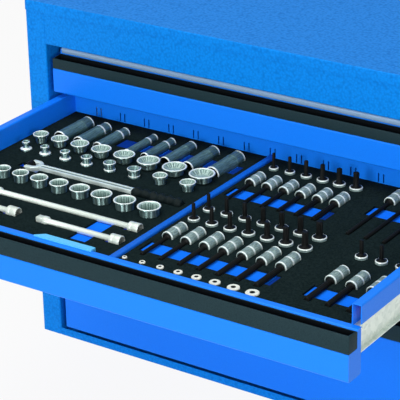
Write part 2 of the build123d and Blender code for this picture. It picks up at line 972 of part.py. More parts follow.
def lying_bits(places, bodies, bits, cuts):
    """Bit sockets that lie with their bits to the front: X, Y, body length, bit length and bit size."""
    for x, y, body_len, bit_len, across in places:
        place = at(x, y, lying_axis_z)
        bodies.append(place * lying(bit_body(bit_body_d, body_len)))
        bits.append(place * lying(bit(bit_body_d, across, bit_len)))
        cuts.append(place * lying(trough(bit_body_d, -body_len, bit_collar_h)))
        cuts.append(place * lying(trough(across / cos_30(), 0, bit_len)))


def cos_30():
    """Half width over corner radius of a six-sided bit."""
    return 3 ** (1 / 2) / 2


def sunk_sockets(cuts):
    """Small sockets sunk almost to their rims."""
    pieces = []
    for index in range(sunk_count):
        x = right_start + sunk_x + sunk_pitch * index
        rim_d = sunk_d + sunk_step * index
        rim = rim_d / 2
        cut = socket_chamfer / 2
        points = [
            (0, -stand_depth),
            (rim, -stand_depth),
            (rim, sunk_above_foam - cut),
            (rim - cut, sunk_above_foam),
            (0, sunk_above_foam),
        ]
        hole = prism(6, rim_d * sunk_rim_share, -stand_depth / 2, overrun)
        pieces.append(at(x, sunk_y, 0) * (turned(points) - hole))
        cuts.append(at(x, sunk_y, 0) * pocket(rim_d, stand_depth))
    return pieces


def recess(x, y, width, depth):
    """Finger recess through the black layer, from its front left corner."""
    return at(x, y, 0) * slab((0, 0, -foam_top_t), (width, depth, overrun))


def bit_recess(row):
    """Finger recess across the bits of a lying row."""
    first_x, y = row[0][:2]
    width = row[-1][0] - first_x + 2 * bit_recess_margin
    front_y = y - bit_recess_gap - bit_recess_d
    return recess(first_x - bit_recess_margin, front_y, width, bit_recess_d)


def insert(side, low, high):
    """Plain layer of an insert, left (0) or right (1), between two heights."""
    left = right_start if side else seat_gap
    start = at(left, seat_gap, low)
    return start * slab((0, 0, 0), (insert_w, insert_d, high - low))


def save_insert(name, side, cuts, recesses):
    """Both layers of an insert: pockets go through both, recesses through the black layer."""
    top = insert(side, -foam_top_t, 0) - cuts - recesses
    base = insert(side, tray_floor, -foam_top_t)
    base = chamfer(base.edges().filter_by(Axis.Y).sort_by(Axis.Z)[:2], bend_r) - cuts
    save("foam_top_" + name, [top])
    save("foam_base_" + name, [base])


def save_drawer(name, lip_z, height, wall_top, pulled):
    """The five pieces of a drawer, moved to its level and pulled out."""
    level = lip_z - lip_above_foam
    place = Pos(0, -pulled, level)
    floor = tray_floor - (height - front_h)
    save(name + "_tray", [place * tray(floor, wall_top, pulled > 0)])
    save(name + "_front", [place * front(height)])
    save(name + "_grip_strip", [place * grip_strip()])
    save(name + "_inner_runners", [place * runner for runner in inner_runners()])
    half_way = Pos(0, -pulled / 2, level)
    save(name + "_middle_runners", [half_way * runner for runner in middle_runners()])


def save_chest():
    """Carcass pieces and the members riveted to them."""
    right, left = both_sides(side_panel() - screw_holes())
    save("side_panel_right", [right])
    save("side_panel_left", [left])
    save("back_panel", [back_panel()])
    save("base_panel", [base_panel()])
    save("top_panel", [top_panel()])
    save("front_fascia", [front_fascia()])
    save("runner_uprights", runner_uprights())
    save("fixed_runners", fixed_runners())
    save("runner_rivets", runner_rivets())
    save("back_screws", back_screws())


def save_left_tools():
    """Left insert and its tools."""
    cuts = handle_room()
    save("large_sockets", large_sockets(cuts))
    save("small_sockets", small_sockets(cuts))
    save("medium_sockets", medium_sockets(cuts))
    save("deep_sockets", deep_sockets(cuts))
    save("handle_bar", [handle_bar()])
    save("handle_grip", [handle_grip()])
    save("handle_pivot_pin", [pivot_pin()])
    save("handle_drive_head", [drive_head()])
    save("long_extension", [extension_at(long_bar_x, long_bar_y, long_bar_len, cuts)])
    save("middle_extension", [extension_at(middle_bar_x, middle_bar_y, middle_bar_len, cuts)])
    save("short_extension", [extension_at(short_bar_x, short_bar_y, short_bar_len, cuts)])
    deep_recess_w = left_end - deep_recess_margin - deep_recess_x
    under_sockets = recess(deep_recess_x, deep_recess_y, deep_recess_w, deep_recess_d)
    bar_recess_x = left_end - bar_recess_margin - bar_recess_w
    under_bars = recess(bar_recess_x, bar_recess_y, bar_recess_w, bar_recess_d)
    save_insert("left", 0, cuts, [under_sockets, under_bars])


def stand_row(x, y, pitch, count, body_d, body_step, across, across_step):
    """Places of a standing row: X, Y, body diameter and bit size of each."""
    return [(x + pitch * i, y, body_d + body_step * i, across + across_step * i) for i in range(count)]


def lie_row(x, y, pitch, count, body_len, bit_len, across, across_step):
    """Places of a lying row: X, Y, body length, bit length and bit size of each."""
    return [(x + pitch * i, y, body_len, bit_len, across + across_step * i) for i in range(count)]


def side_x(margin, pitch, count):
    """First place of a row that ends a margin before the drawer's right wall."""
    return tray_w - margin - pitch * (count - 1)


def save_bits(name, places, maker, cuts):
    """Bodies and bits of a group of bit sockets."""
    bodies, bits = [], []
    maker(places, bodies, bits, cuts)
    save(name + "_bodies", bodies)
    save(name + "_bits", bits)


def save_right_tools():
    """Right insert and its tools."""
    cuts = []
    long_x = side_x(long_lying_margin, long_lying_pitch, long_lying_count)
    long = lie_row(long_x, long_lying_y, long_lying_pitch, long_lying_count,
                   long_lying_body, long_lying_bit_len, long_lying_bit, 0)
    stand_x = side_x(side_stand_margin, side_stand_pitch, side_stand_count)
    side = stand_row(stand_x, side_stand_y, side_stand_pitch, side_stand_count,
                     side_stand_d, 0, side_stand_bit, 0)
    lower_x = side_x(side_lying_margin, side_lying_pitch, side_lying_count)
    side_lower = lie_row(lower_x, side_lying_y, side_lying_pitch, side_lying_count,
                         side_lying_body, side_lying_bit_len, side_lying_bit, 0)
    first = right_start + back_stand_x
    count = count_to(first, back_stand_pitch, long_x - group_gap)
    back = stand_row(first, back_stand_y, back_stand_pitch, count,
                     back_stand_d, back_stand_step, back_stand_bit, back_stand_bit_step)
    first = right_start + upper_lying_x
    count = count_to(first, upper_lying_pitch, long_x - group_gap)
    upper = lie_row(first, upper_lying_y, upper_lying_pitch, count,
                    upper_lying_body, upper_lying_bit_len, upper_lying_bit, upper_lying_bit_step)
    first = right_start + mid_stand_x
    count = count_to(first, mid_stand_pitch, stand_x - group_gap)
    middle = []
    for y in (mid_stand_back_y, mid_stand_front_y):
        middle += stand_row(first, y, mid_stand_pitch, count,
                            mid_stand_d, mid_stand_step, mid_stand_bit, mid_stand_bit_step)
    first = right_start + lower_lying_x
    count = count_to(first, lower_lying_pitch, lower_x - group_gap)
    lower = lie_row(first, lower_lying_y, lower_lying_pitch, count,
                    lower_lying_body, lower_lying_bit_len, lower_lying_bit, lower_lying_bit_step)
    save_bits("back_standing", back, standing_bits, cuts)
    save_bits("middle_standing", middle + side, standing_bits, cuts)
    save_bits("upper_lying", upper, lying_bits, cuts)
    save_bits("long_lying", long, lying_bits, cuts)
    save_bits("lower_lying", lower + side_lower, lying_bits, cuts)
    save("sunk_sockets", sunk_sockets(cuts))
    save_insert("right", 1, cuts, [bit_recess(row) for row in (upper, long, lower, side_lower)])


def main():
    """Write every piece of the chest, its drawers and the tools."""
    os.makedirs("parts", exist_ok=True)
    save_chest()
    save_drawer("upper", upper_lip_z, front_h, upper_wall_above_foam, 0)
    save_drawer("socket", socket_lip_z, front_h, wall_above_foam, open_by)
    save_drawer("third", third_lip_z, front_h, wall_above_foam, 0)
    save_drawer("deep", deep_lip_z, deep_front_h, wall_above_foam, 0)
    save("divider", [divider()])
    save("label_holder", [label_holder()])
    save_left_tools()
    save_right_tools()


main()
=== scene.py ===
"""Blue steel tool chest with its socket drawer pulled out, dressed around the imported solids."""
import json
import logging
import math
from dataclasses import dataclass
from enum import Enum
from typing import ClassVar, Iterator, Sequence

import bmesh
import bpy
from mathutils import Matrix, Vector

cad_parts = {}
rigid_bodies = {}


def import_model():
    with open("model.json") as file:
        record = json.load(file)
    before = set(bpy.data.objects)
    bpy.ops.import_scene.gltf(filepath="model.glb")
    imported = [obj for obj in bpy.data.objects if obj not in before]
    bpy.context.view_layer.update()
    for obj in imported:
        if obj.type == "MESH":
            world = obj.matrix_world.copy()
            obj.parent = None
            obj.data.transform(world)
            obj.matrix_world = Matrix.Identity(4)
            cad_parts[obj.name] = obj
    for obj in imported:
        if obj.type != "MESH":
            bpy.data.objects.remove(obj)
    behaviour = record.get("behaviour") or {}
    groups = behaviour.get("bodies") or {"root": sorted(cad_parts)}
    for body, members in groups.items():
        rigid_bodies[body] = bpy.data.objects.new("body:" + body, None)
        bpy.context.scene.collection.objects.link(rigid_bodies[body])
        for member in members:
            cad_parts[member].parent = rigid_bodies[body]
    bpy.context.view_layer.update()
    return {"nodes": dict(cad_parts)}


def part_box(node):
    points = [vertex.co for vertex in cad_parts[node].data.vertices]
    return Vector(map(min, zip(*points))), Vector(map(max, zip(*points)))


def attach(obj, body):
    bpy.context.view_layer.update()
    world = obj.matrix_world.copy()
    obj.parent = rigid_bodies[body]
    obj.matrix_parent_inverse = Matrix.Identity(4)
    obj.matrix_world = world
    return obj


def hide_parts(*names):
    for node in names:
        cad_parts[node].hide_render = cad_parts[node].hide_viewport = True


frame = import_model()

LOG = logging.getLogger("tool_chest")
MM = 0.001
Colour = tuple[float, float, float]

# Faces of the open drawer, and how the tools sit in its foam, in millimetres
LEFT_WALL = -348.0
FRONT_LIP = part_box("socket_front")[1][1] / MM
FOAM_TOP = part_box("foam_top_left")[1][2] / MM
LYING_AXIS = 1.0
STAND_DEPTH = 20.0

# Limits by which edges and faces are picked
SMOOTH_ANGLE = math.radians(32)
UPWARD = 0.9
FACING = 0.99
NEAR = 0.01

# Sockets of a colour mix, the part of a pattern that is used, and detail and roughness of the noises
MIX_COLOURS = (6, 7)
MIX_RESULT = 2
PATTERN_MIDDLE = (0.25, 0.75)
FOAM_NOISE = (4.0, 0.7)
PLAIN_NOISE = (2.0, 0.5)


def seat(x: float, y: float, z: float = 0.0) -> Matrix:
    """Place in the open drawer.

    Args:
        x: Millimetres from the drawer's left wall.
        y: Millimetres from the front lip's inner edge.
        z: Millimetres above the foam.

    Returns:
        Matrix from a piece's own millimetres to the frame's metres.
    """
    spot = Vector((x + LEFT_WALL, y + FRONT_LIP, z + FOAM_TOP))
    return Matrix.Translation(spot * MM) @ Matrix.Scale(MM, 4)


class Pattern(Enum):
    """Surface patterns of the finishes."""

    PEEL = "peel"
    HAMMERED = "hammered"
    CELLS = "cells"
    BRUSHED = "brushed"
    SPANGLE = "spangle"
    GRAIN = "grain"


@dataclass(frozen=True)
class Finish:
    """A procedural finish: two colours mixed by a pattern that also sets the relief and the gloss."""

    name: str
    colour: Colour
    shade: Colour
    roughness: float
    pattern: Pattern
    cell: float
    relief: float
    metallic: float = 0.0
    mottle: float = 0.5
    gloss_spread: float = 0.08
    specular: float = 0.5
    stretch: tuple[float, float, float] = (1.0, 1.0, 1.0)
    drawn: float = 0.0
    axis: tuple[float, float, float] = (0.0, 0.0, 1.0)

    def material(self) -> bpy.types.Material:
        """Material of this finish, made once.

        Returns:
            The material with its nodes.
        """
        found = bpy.data.materials.get(self.name)
        if found:
            return found
        material = bpy.data.materials.new(self.name)
        material.use_nodes = True
        nodes, links = material.node_tree.nodes, material.node_tree.links
        shader = nodes["Principled BSDF"]
        shader.inputs["Metallic"].default_value = self.metallic
        shader.inputs["Specular IOR Level"].default_value = self.specular
        if self.drawn:
            turned = nodes.new("ShaderNodeCombineXYZ")
            for socket, value in zip(turned.inputs, self.axis):
                socket.default_value = value
            links.new(turned.outputs[0], shader.inputs["Tangent"])
            shader.inputs["Anisotropic"].default_value = self.drawn
        factor = self._pattern(nodes, links)
        mix = nodes.new("ShaderNodeMix")
        mix.data_type = "RGBA"
        for index, colour in zip(MIX_COLOURS, (self.colour, self.shade)):
            mix.inputs[index].default_value = (*colour, 1)
        links.new(self._range(nodes, links, factor, 0.0, 2 * self.mottle), mix.inputs[0])
        links.new(mix.outputs[MIX_RESULT], shader.inputs["Base Color"])
        low, high = self.roughness - self.gloss_spread, self.roughness + self.gloss_spread
        links.new(self._range(nodes, links, factor, low, high), shader.inputs["Roughness"])
        bump = nodes.new("ShaderNodeBump")
        bump.inputs["Strength"].default_value = 1.0
        bump.inputs["Distance"].default_value = self.relief * MM
        links.new(factor, bump.inputs["Height"])
        links.new(bump.outputs["Normal"], shader.inputs["Normal"])
        return material

    def _pattern(self, nodes: bpy.types.Nodes, links: bpy.types.NodeLinks) -> bpy.types.NodeSocket:
        """Texture of the pattern on object coordinates.

        Args:
            nodes: The material's nodes.
            links: The material's links.

        Returns:
            Socket that runs from 0 to 1 over the surface.
        """
        place = nodes.new("ShaderNodeTexCoord")
        mapping = nodes.new("ShaderNodeMapping")
        mapping.inputs["Scale"].default_value = [side / (self.cell * MM) for side in self.stretch]
        links.new(place.outputs["Object"], mapping.inputs["Vector"])
        if self.pattern in (Pattern.HAMMERED, Pattern.SPANGLE, Pattern.GRAIN):
            cells = nodes.new("ShaderNodeTexVoronoi")
            cells.feature = "F1" if self.pattern is Pattern.SPANGLE else "SMOOTH_F1"
            cells.inputs["Scale"].default_value = 1.0
            links.new(mapping.outputs["Vector"], cells.inputs["Vector"])
            return cells.outputs["Color" if self.pattern is Pattern.SPANGLE else "Distance"]
        noise = nodes.new("ShaderNodeTexNoise")
        noise.inputs["Scale"].default_value = 1.0
        detail, roughness = FOAM_NOISE if self.pattern is Pattern.CELLS else PLAIN_NOISE
        noise.inputs["Detail"].default_value = detail
        noise.inputs["Roughness"].default_value = roughness
        links.new(mapping.outputs["Vector"], noise.inputs["Vector"])
        return noise.outputs["Fac"]

    @staticmethod
    def _range(
        nodes: bpy.types.Nodes, links: bpy.types.NodeLinks, factor: bpy.types.NodeSocket, low: float,
        high: float,
    ) -> bpy.types.NodeSocket:
        """Stretch the pattern's middle part over a range.

        Args:
            nodes: The material's nodes.
            links: The material's links.
            factor: The pattern.
            low: Value where the pattern is low.
            high: Value where the pattern is high.

        Returns:
            Socket with the stretched values.
        """
        spread = nodes.new("ShaderNodeMapRange")
        spread.inputs["From Min"].default_value = PATTERN_MIDDLE[0]
        spread.inputs["From Max"].default_value = PATTERN_MIDDLE[1]
        spread.inputs["To Min"].default_value = low
        spread.inputs["To Max"].default_value = high
        links.new(factor, spread.inputs["Value"])
        return spread.outputs["Result"]


DRAWER_PAINT = Finish(
    "drawer_paint_smooth_blue", colour=(0.006, 0.205, 0.900), shade=(0.005, 0.185, 0.860), roughness=0.36,
    pattern=Pattern.PEEL, cell=1.6, relief=0.012, specular=0.2,
)
DIVIDER_PAINT = Finish(
    "divider_paint_blue", colour=(0.006, 0.130, 0.640), shade=(0.005, 0.115, 0.600), roughness=0.36,
    pattern=Pattern.PEEL, cell=1.6, relief=0.012, specular=0.15,
)
CHEST_PAINT = Finish(
    "chest_paint_hammertone", colour=(0.003, 0.225, 0.740), shade=(0.001, 0.165, 0.590), roughness=0.38,
    pattern=Pattern.HAMMERED, cell=3.4, relief=0.20, specular=0.08,
)
# Runner uprights inside the cabinet, painted near-black blue: painted shade.
UPRIGHT_SHADE = Finish(
    "upright_painted_shade", colour=(0.001, 0.022, 0.090), shade=(0.001, 0.016, 0.070), roughness=0.5,
    pattern=Pattern.PEEL, cell=1.6, relief=0.012, specular=0.1,
)
GRIP_PLASTIC = Finish(
    "grip_plastic_dark_grey", colour=(0.015, 0.036, 0.044), shade=(0.009, 0.023, 0.029), roughness=0.55,
    pattern=Pattern.GRAIN, cell=0.9, relief=0.03, specular=0.08,
)
# Near-black of the grip strips' grooves: painted shade.
GRIP_SHADOW = Finish(
    "grip_groove_painted_shade", colour=(0.003, 0.005, 0.007), shade=(0.002, 0.003, 0.004), roughness=0.7,
    pattern=Pattern.GRAIN, cell=0.9, relief=0.02, specular=0.05,
)
FOAM_BLACK = Finish(
    "foam_black_cells", colour=(0.0025, 0.0065, 0.0075), shade=(0.0155, 0.0280, 0.0290), roughness=0.95,
    pattern=Pattern.CELLS, cell=2.6, relief=0.10, specular=0.0,
)
FOAM_BLUE = Finish(
    "foam_blue_cells", colour=(0.006, 0.165, 0.960), shade=(0.010, 0.200, 1.000), roughness=0.85,
    pattern=Pattern.CELLS, cell=1.3, relief=0.08, specular=0.0,
)
# Socket walls: the anisotropic turning is real, while the strong light and dark vertical colour streaks are
# painted reflections.
CHROME = Finish(
    "socket_chrome_painted_reflections", colour=(0.54, 0.79, 0.77), shade=(0.02, 0.06, 0.06), roughness=0.38,
    pattern=Pattern.BRUSHED, cell=2.8, relief=0.003, metallic=0.9, gloss_spread=0.04,
    stretch=(1.0, 1.0, 0.06), drawn=1.0,
)
# Near-white rims and bands of the turned pieces: a painted highlight.
RIM_HIGHLIGHT = Finish(
    "rim_painted_highlight", colour=(0.90, 0.97, 0.94), shade=(0.74, 0.85, 0.82), roughness=0.30,
    pattern=Pattern.BRUSHED, cell=1.2, relief=0.003, metallic=0.2,
)
DEEP_CHROME = Finish(
    "deep_socket_chrome", colour=(0.15, 0.29, 0.29), shade=(0.035, 0.085, 0.09), roughness=0.42,
    pattern=Pattern.BRUSHED, cell=1.3, relief=0.008, metallic=0.5, stretch=(1.0, 0.10, 1.0), drawn=0.8,
    axis=(0.0, 1.0, 0.0),
)
BODY_CHROME = Finish(
    "bit_socket_chrome", colour=(0.35, 0.48, 0.46), shade=(0.10, 0.16, 0.155), roughness=0.44,
    pattern=Pattern.BRUSHED, cell=1.1, relief=0.008, metallic=0.3, stretch=(1.0, 0.15, 1.0),
)
SATIN_CHROME = Finish(
    "extension_satin_chrome", colour=(0.78, 0.86, 0.78), shade=(0.62, 0.72, 0.66), roughness=0.42,
    pattern=Pattern.BRUSHED, cell=0.7, relief=0.006, metallic=0.5, stretch=(0.15, 1.0, 1.0),
)
BAR_CHROME = Finish(
    "handle_bar_chrome", colour=(0.80, 0.92, 0.88), shade=(0.62, 0.75, 0.72), roughness=0.36,
    pattern=Pattern.BRUSHED, cell=0.9, relief=0.004, metallic=0.35, stretch=(0.10, 1.0, 1.0),
)
# Darker grey of the handle bar's groove: painted shade.
BAR_GROOVE_SHADE = Finish(
    "handle_bar_groove_painted_shade", colour=(0.26, 0.34, 0.33), shade=(0.16, 0.22, 0.22), roughness=0.5,
    pattern=Pattern.BRUSHED, cell=0.9, relief=0.004, metallic=0.3, stretch=(0.10, 1.0, 1.0),
)
CREAM_RIM = Finish(
    "sunk_socket_rim", colour=(0.88, 0.90, 0.80), shade=(0.70, 0.74, 0.66), roughness=0.36,
    pattern=Pattern.BRUSHED, cell=0.9, relief=0.004, metallic=0.1,
)
SOCKET_MOUTH = Finish(
    "socket_mouth", colour=(0.46, 0.62, 0.58), shade=(0.26, 0.38, 0.35), roughness=0.45,
    pattern=Pattern.BRUSHED, cell=1.6, relief=0.004, metallic=0.3, stretch=(1.0, 1.0, 0.1),
)
# Darker flanks of the socket mouths' flutes: painted shade.
MOUTH_FLANK_SHADE = Finish(
    "socket_mouth_flank_painted_shade", colour=(0.20, 0.31, 0.29), shade=(0.10, 0.17, 0.16), roughness=0.45,
    pattern=Pattern.BRUSHED, cell=1.6, relief=0.004, metallic=0.3, stretch=(1.0, 1.0, 0.1),
)
# Dark blue of the sheets on the recess floors: painted shade.
FOAM_SHADE = Finish(
    "foam_blue_painted_shade", colour=(0.003, 0.030, 0.230), shade=(0.005, 0.045, 0.310), roughness=0.85,
    pattern=Pattern.CELLS, cell=1.3, relief=0.08, specular=0.0,
)
PALE_BORE = Finish(
    "pale_bore", colour=(0.34, 0.38, 0.35), shade=(0.22, 0.25, 0.23), roughness=0.5,
    pattern=Pattern.GRAIN, cell=0.8, relief=0.01, metallic=0.3,
)
# Pale blue-silver of the upper lip's bead: a painted highlight.
LIP_HIGHLIGHT = Finish(
    "upper_lip_painted_highlight", colour=(0.34, 0.53, 0.76), shade=(0.28, 0.45, 0.67), roughness=0.28,
    pattern=Pattern.BRUSHED, cell=0.8, relief=0.003, metallic=0.2, stretch=(0.05, 1.0, 1.0),
)
# Near-black inside the bores of the sockets and bit bodies: painted shade.
BORE_SHADE = Finish(
    "bore_painted_shade", colour=(0.030, 0.040, 0.040), shade=(0.012, 0.018, 0.018), roughness=0.5,
    pattern=Pattern.GRAIN, cell=0.8, relief=0.01, metallic=0.5,
)
BLACK_STEEL = Finish(
    "bit_black_oxide", colour=(0.0025, 0.0034, 0.0036), shade=(0.0070, 0.0080, 0.0078), roughness=0.45,
    pattern=Pattern.GRAIN, cell=0.8, relief=0.015, specular=0.10,
)
GRIP_RUBBER = Finish(
    "handle_rubber", colour=(0.004, 0.0085, 0.009), shade=(0.009, 0.0175, 0.0185), roughness=0.6,
    pattern=Pattern.GRAIN, cell=0.7, relief=0.03, specular=0.1,
)
ZINC = Finish(
    "runner_zinc", colour=(0.80, 0.88, 0.80), shade=(0.68, 0.77, 0.70), roughness=0.42,
    pattern=Pattern.SPANGLE, cell=6.0, relief=0.0, metallic=0.3,
)
FASTENER = Finish(
    "fastener_steel_plain", colour=(0.55, 0.57, 0.57), shade=(0.45, 0.47, 0.47), roughness=0.35,
    pattern=Pattern.BRUSHED, cell=0.6, relief=0.006, metallic=1.0,
)
LABEL_PLASTIC = Finish(
    "label_pale_blue", colour=(0.11, 0.52, 0.90), shade=(0.09, 0.47, 0.87), roughness=0.25,
    pattern=Pattern.PEEL, cell=9.0, relief=0.003, specular=0.3, mottle=0.1,
)


@dataclass(frozen=True)
class Ring:
    """One ring of a turned piece.

    The valley is the share of the radius that the ring has between its points, and the finish is the number
    of the finish on the strip that leads to the ring. On a strip with painted flank shade every second face
    has the next one, which paints shade on the flanks of the flutes.
    """

    radius: float
    height: float
    valley: float = 1.0
    finish: int = 0
    painted_flank_shade: bool = False


class Bench:
    """Edit-mode steps that the pieces share; lengths are in millimetres."""

    SIDES: ClassVar[int] = 48
    MODELS: ClassVar[dict[tuple, bpy.types.Mesh]] = {}

    @staticmethod
    def clear() -> None:
        """Deselect everything."""
        bpy.ops.object.select_all(action="DESELECT")

    @classmethod
    def activate(cls, piece: bpy.types.Object) -> None:
        """Make one piece the only one selected.

        Args:
            piece: The piece.
        """
        cls.clear()
        piece.select_set(True)
        bpy.context.view_layer.objects.active = piece

    @classmethod
    def turned(
        cls, name: str, rings: Sequence[Ring], finishes: Sequence[Finish], sides: int = SIDES,
        points: int = 12, edge: float = 0.2,
    ) -> bpy.types.Object:
        """Turned piece along Z, drawn out ring by ring; a repeat is a copy of its first model.

        Args:
            name: Name of the piece.
            rings: Rings from the first end to the last.
            finishes: Finishes that the rings name by number.
            sides: Corners of each ring.
            points: Points of the rings that have valleys.
            edge: Width of the rounded edges.

        Returns:
            The closed piece.
        """
        cls.clear()
        key = (tuple(rings), tuple(finishes), sides, points, edge)
        if key in cls.MODELS:
            piece = bpy.data.objects.new(name, cls.MODELS[key].copy())
            bpy.context.scene.collection.objects.link(piece)
            return piece
        bpy.ops.mesh.primitive_circle_add(vertices=sides, radius=rings[0].radius, fill_type="NOTHING")
        piece = bpy.context.object
        piece.name = name
        bpy.ops.object.mode_set(mode="EDIT")
        bpy.ops.mesh.select_mode(type="VERT")
        bpy.ops.mesh.select_all(action="SELECT")
        bpy.ops.transform.translate(value=(0, 0, rings[0].height))
        for before, ring in zip(rings, rings[1:]):
            rise = (0, 0, ring.height - before.height)
            bpy.ops.mesh.extrude_edges_move(TRANSFORM_OT_translate={"value": rise})
            grow = ring.radius / before.radius
            centre = (0, 0, ring.height)
            bpy.ops.transform.resize(value=(grow, grow, 1), center_override=centre)
            if ring.valley != before.valley:
                cls._press_valleys(piece, ring.valley / before.valley, centre, sides, points)
        cls.close(piece)
        for finish in finishes:
            piece.data.materials.append(finish.material())
        for face in piece.data.polygons:
            corner = min(face.vertices)
            ring = rings[min(corner // sides + 1, len(rings) - 1)]
            # Every second face of a strip with painted flank shade takes the next finish: painted shade on
            # the flute flanks.
            face.material_index = ring.finish + (corner % 2 if ring.painted_flank_shade else 0)
        cls.round_edges(piece, edge)
        cls.MODELS[key] = piece.data.copy()
        return piece

    @classmethod
    def forget_models(cls) -> None:
        """Remove the models that the repeats were copied from."""
        for mesh in cls.MODELS.values():
            bpy.data.meshes.remove(mesh)
        cls.MODELS.clear()

    @staticmethod
    def _press_valleys(
        piece: bpy.types.Object, ratio: float, centre: tuple[float, float, float], sides: int, points: int
    ) -> None:
        """Press the selected ring in between its points, and select the ring again.

        Args:
            piece: Piece in edit mode.
            ratio: How far the valleys move in.
            centre: Middle of the ring.
            sides: Corners of the ring.
            points: Points of the ring.
        """
        mesh = bmesh.from_edit_mesh(piece.data)
        ring = {vert.index for vert in mesh.verts if vert.select}
        step = math.tau / sides
        period = sides // points
        for vert in mesh.verts:
            if vert.index in ring:
                turn = round(math.atan2(vert.co.y, vert.co.x) / step)
                vert.select_set(turn % period == period // 2)
        mesh.select_flush_mode()
        bmesh.update_edit_mesh(piece.data)
        bpy.ops.transform.resize(value=(ratio, ratio, 1), center_override=centre)
        mesh = bmesh.from_edit_mesh(piece.data)
        for vert in mesh.verts:
            vert.select_set(vert.index in ring)
        mesh.select_flush_mode()
        bmesh.update_edit_mesh(piece.data)

    @staticmethod
    def close(piece: bpy.types.Object) -> None:
        """Close the open ends of a piece in edit mode and turn its faces outwards.

        Args:
            piece: The piece, which leaves edit mode.
        """
        bpy.ops.mesh.select_all(action="DESELECT")
        bpy.ops.mesh.select_non_manifold(
            extend=False, use_wire=False, use_boundary=True, use_multi_face=False, use_non_contiguous=False,
            use_verts=False,
        )
        bpy.ops.mesh.fill_holes(sides=0)
        bpy.ops.mesh.select_all(action="SELECT")
        bpy.ops.mesh.normals_make_consistent(inside=False)
        bpy.ops.object.mode_set(mode="OBJECT")

    @classmethod
    def apply(cls, piece: bpy.types.Object, kind: str, **settings: object) -> None:
        """Add a modifier and apply it.

        Args:
            piece: The piece.
            kind: The modifier's type.
            settings: The modifier's settings.
        """
        cls.activate(piece)
        modifier = piece.modifiers.new(kind.lower(), kind)
        for key, value in settings.items():
            setattr(modifier, key, value)
        bpy.ops.object.modifier_apply(modifier=modifier.name)

    @classmethod
    def round_edges(cls, piece: bpy.types.Object, width: float, segments: int = 2) -> None:
        """Round the sharp edges of a piece and shade it smooth.

        Args:
            piece: The piece.
            width: Width of the rounding.
            segments: Faces across it.
        """
        cls.apply(
            piece, "BEVEL", width=width, segments=segments, limit_method="ANGLE", angle_limit=SMOOTH_ANGLE,
            use_clamp_overlap=True,
        )
        cls.activate(piece)
        bpy.ops.object.shade_smooth_by_angle(angle=SMOOTH_ANGLE)

    @classmethod
    def block(cls, name: str, low: Sequence[float], high: Sequence[float]) -> bpy.types.Object:
        """Plain block between two corners, to be worked further.

        Args:
            name: Name of the piece.
            low: Lowest corner.
            high: Highest corner.

        Returns:
            The block.
        """
        cls.clear()
        bpy.ops.mesh.primitive_cube_add(size=1.0)
        piece = bpy.context.object
        piece.name = name
        size = Vector(high) - Vector(low)
        middle = (Vector(high) + Vector(low)) / 2
        piece.matrix_world = Matrix.Translation(middle) @ Matrix.Diagonal((*size, 1))
        bpy.ops.object.transform_apply(location=True, rotation=True, scale=True)
        return piece

    @staticmethod
    def edit_top(piece: bpy.types.Object) -> None:
        """Open the active piece in edit mode with only its top faces selected.

        Args:
            piece: The piece.
        """
        bpy.ops.object.mode_set(mode="EDIT")
        bpy.ops.mesh.select_mode(type="FACE")
        mesh = bmesh.from_edit_mesh(piece.data)
        for face in mesh.faces:
            face.select_set(face.normal.z > UPWARD)
        bmesh.update_edit_mesh(piece.data)

    @classmethod
    def place(cls, piece: bpy.types.Object, matrix: Matrix) -> bpy.types.Object:
        """Move a piece to its place and keep the place in its mesh.

        Args:
            piece: The piece.
            matrix: From the piece's own millimetres to the frame.

        Returns:
            The piece.
        """
        cls.activate(piece)
        piece.matrix_world = matrix
        bpy.ops.object.transform_apply(location=True, rotation=True, scale=True)
        return piece

    @classmethod
    def joined(cls, name: str, pieces: Sequence[bpy.types.Object]) -> bpy.types.Object:
        """Join pieces that move together.

        Args:
            name: Name of the joined piece.
            pieces: The pieces.

        Returns:
            The joined piece.
        """
        cls.activate(pieces[0])
        for piece in pieces:
            piece.select_set(True)
        if len(pieces) > 1:
            bpy.ops.object.join()
        joined = bpy.context.object
        joined.name = name
        return joined


def dress(piece: bpy.types.Object, body: str, slot: str, *nodes: str) -> bpy.types.Object:
    """Give a new piece its body and hide the nodes that it stands for.

    Args:
        piece: The piece, in its place and with its finishes.
        body: The body that it rides on.
        slot: The record's material slot; not used.
        nodes: The solids that it stands for.

    Returns:
        The piece.
    """
    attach(piece, body)
    if nodes:
        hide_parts(*nodes)
    LOG.info("%s on %s", piece.name, body)
    return piece


LYING = Matrix.Rotation(math.radians(90), 4, "X")
ALONG_X = Matrix.Rotation(math.radians(90), 4, "Y")

# Numbers of the finishes on a turned piece, the second being bands with a painted highlight, and of the
# second finish on a piece that has two
SKIN, HIGHLIGHT_BAND, BORE = range(3)
INNER = 1
SOCKET_FINISHES = (CHROME, RIM_HIGHLIGHT, SOCKET_MOUTH, MOUTH_FLANK_SHADE)
Profile = tuple[tuple[float, float, int], ...]


def outline(radius: float, start: float, profile: Profile) -> list[Ring]:
    """Rings of a profile whose cuts come off a radius and whose places count from a start.

    Args:
        radius: The full radius.
        start: Height that the places count from.
        profile: Cut, place and number of the finish of each ring.

    Returns:
        The rings.
    """
    return [Ring(radius - cut, start + place, finish=finish) for cut, place, finish in profile]


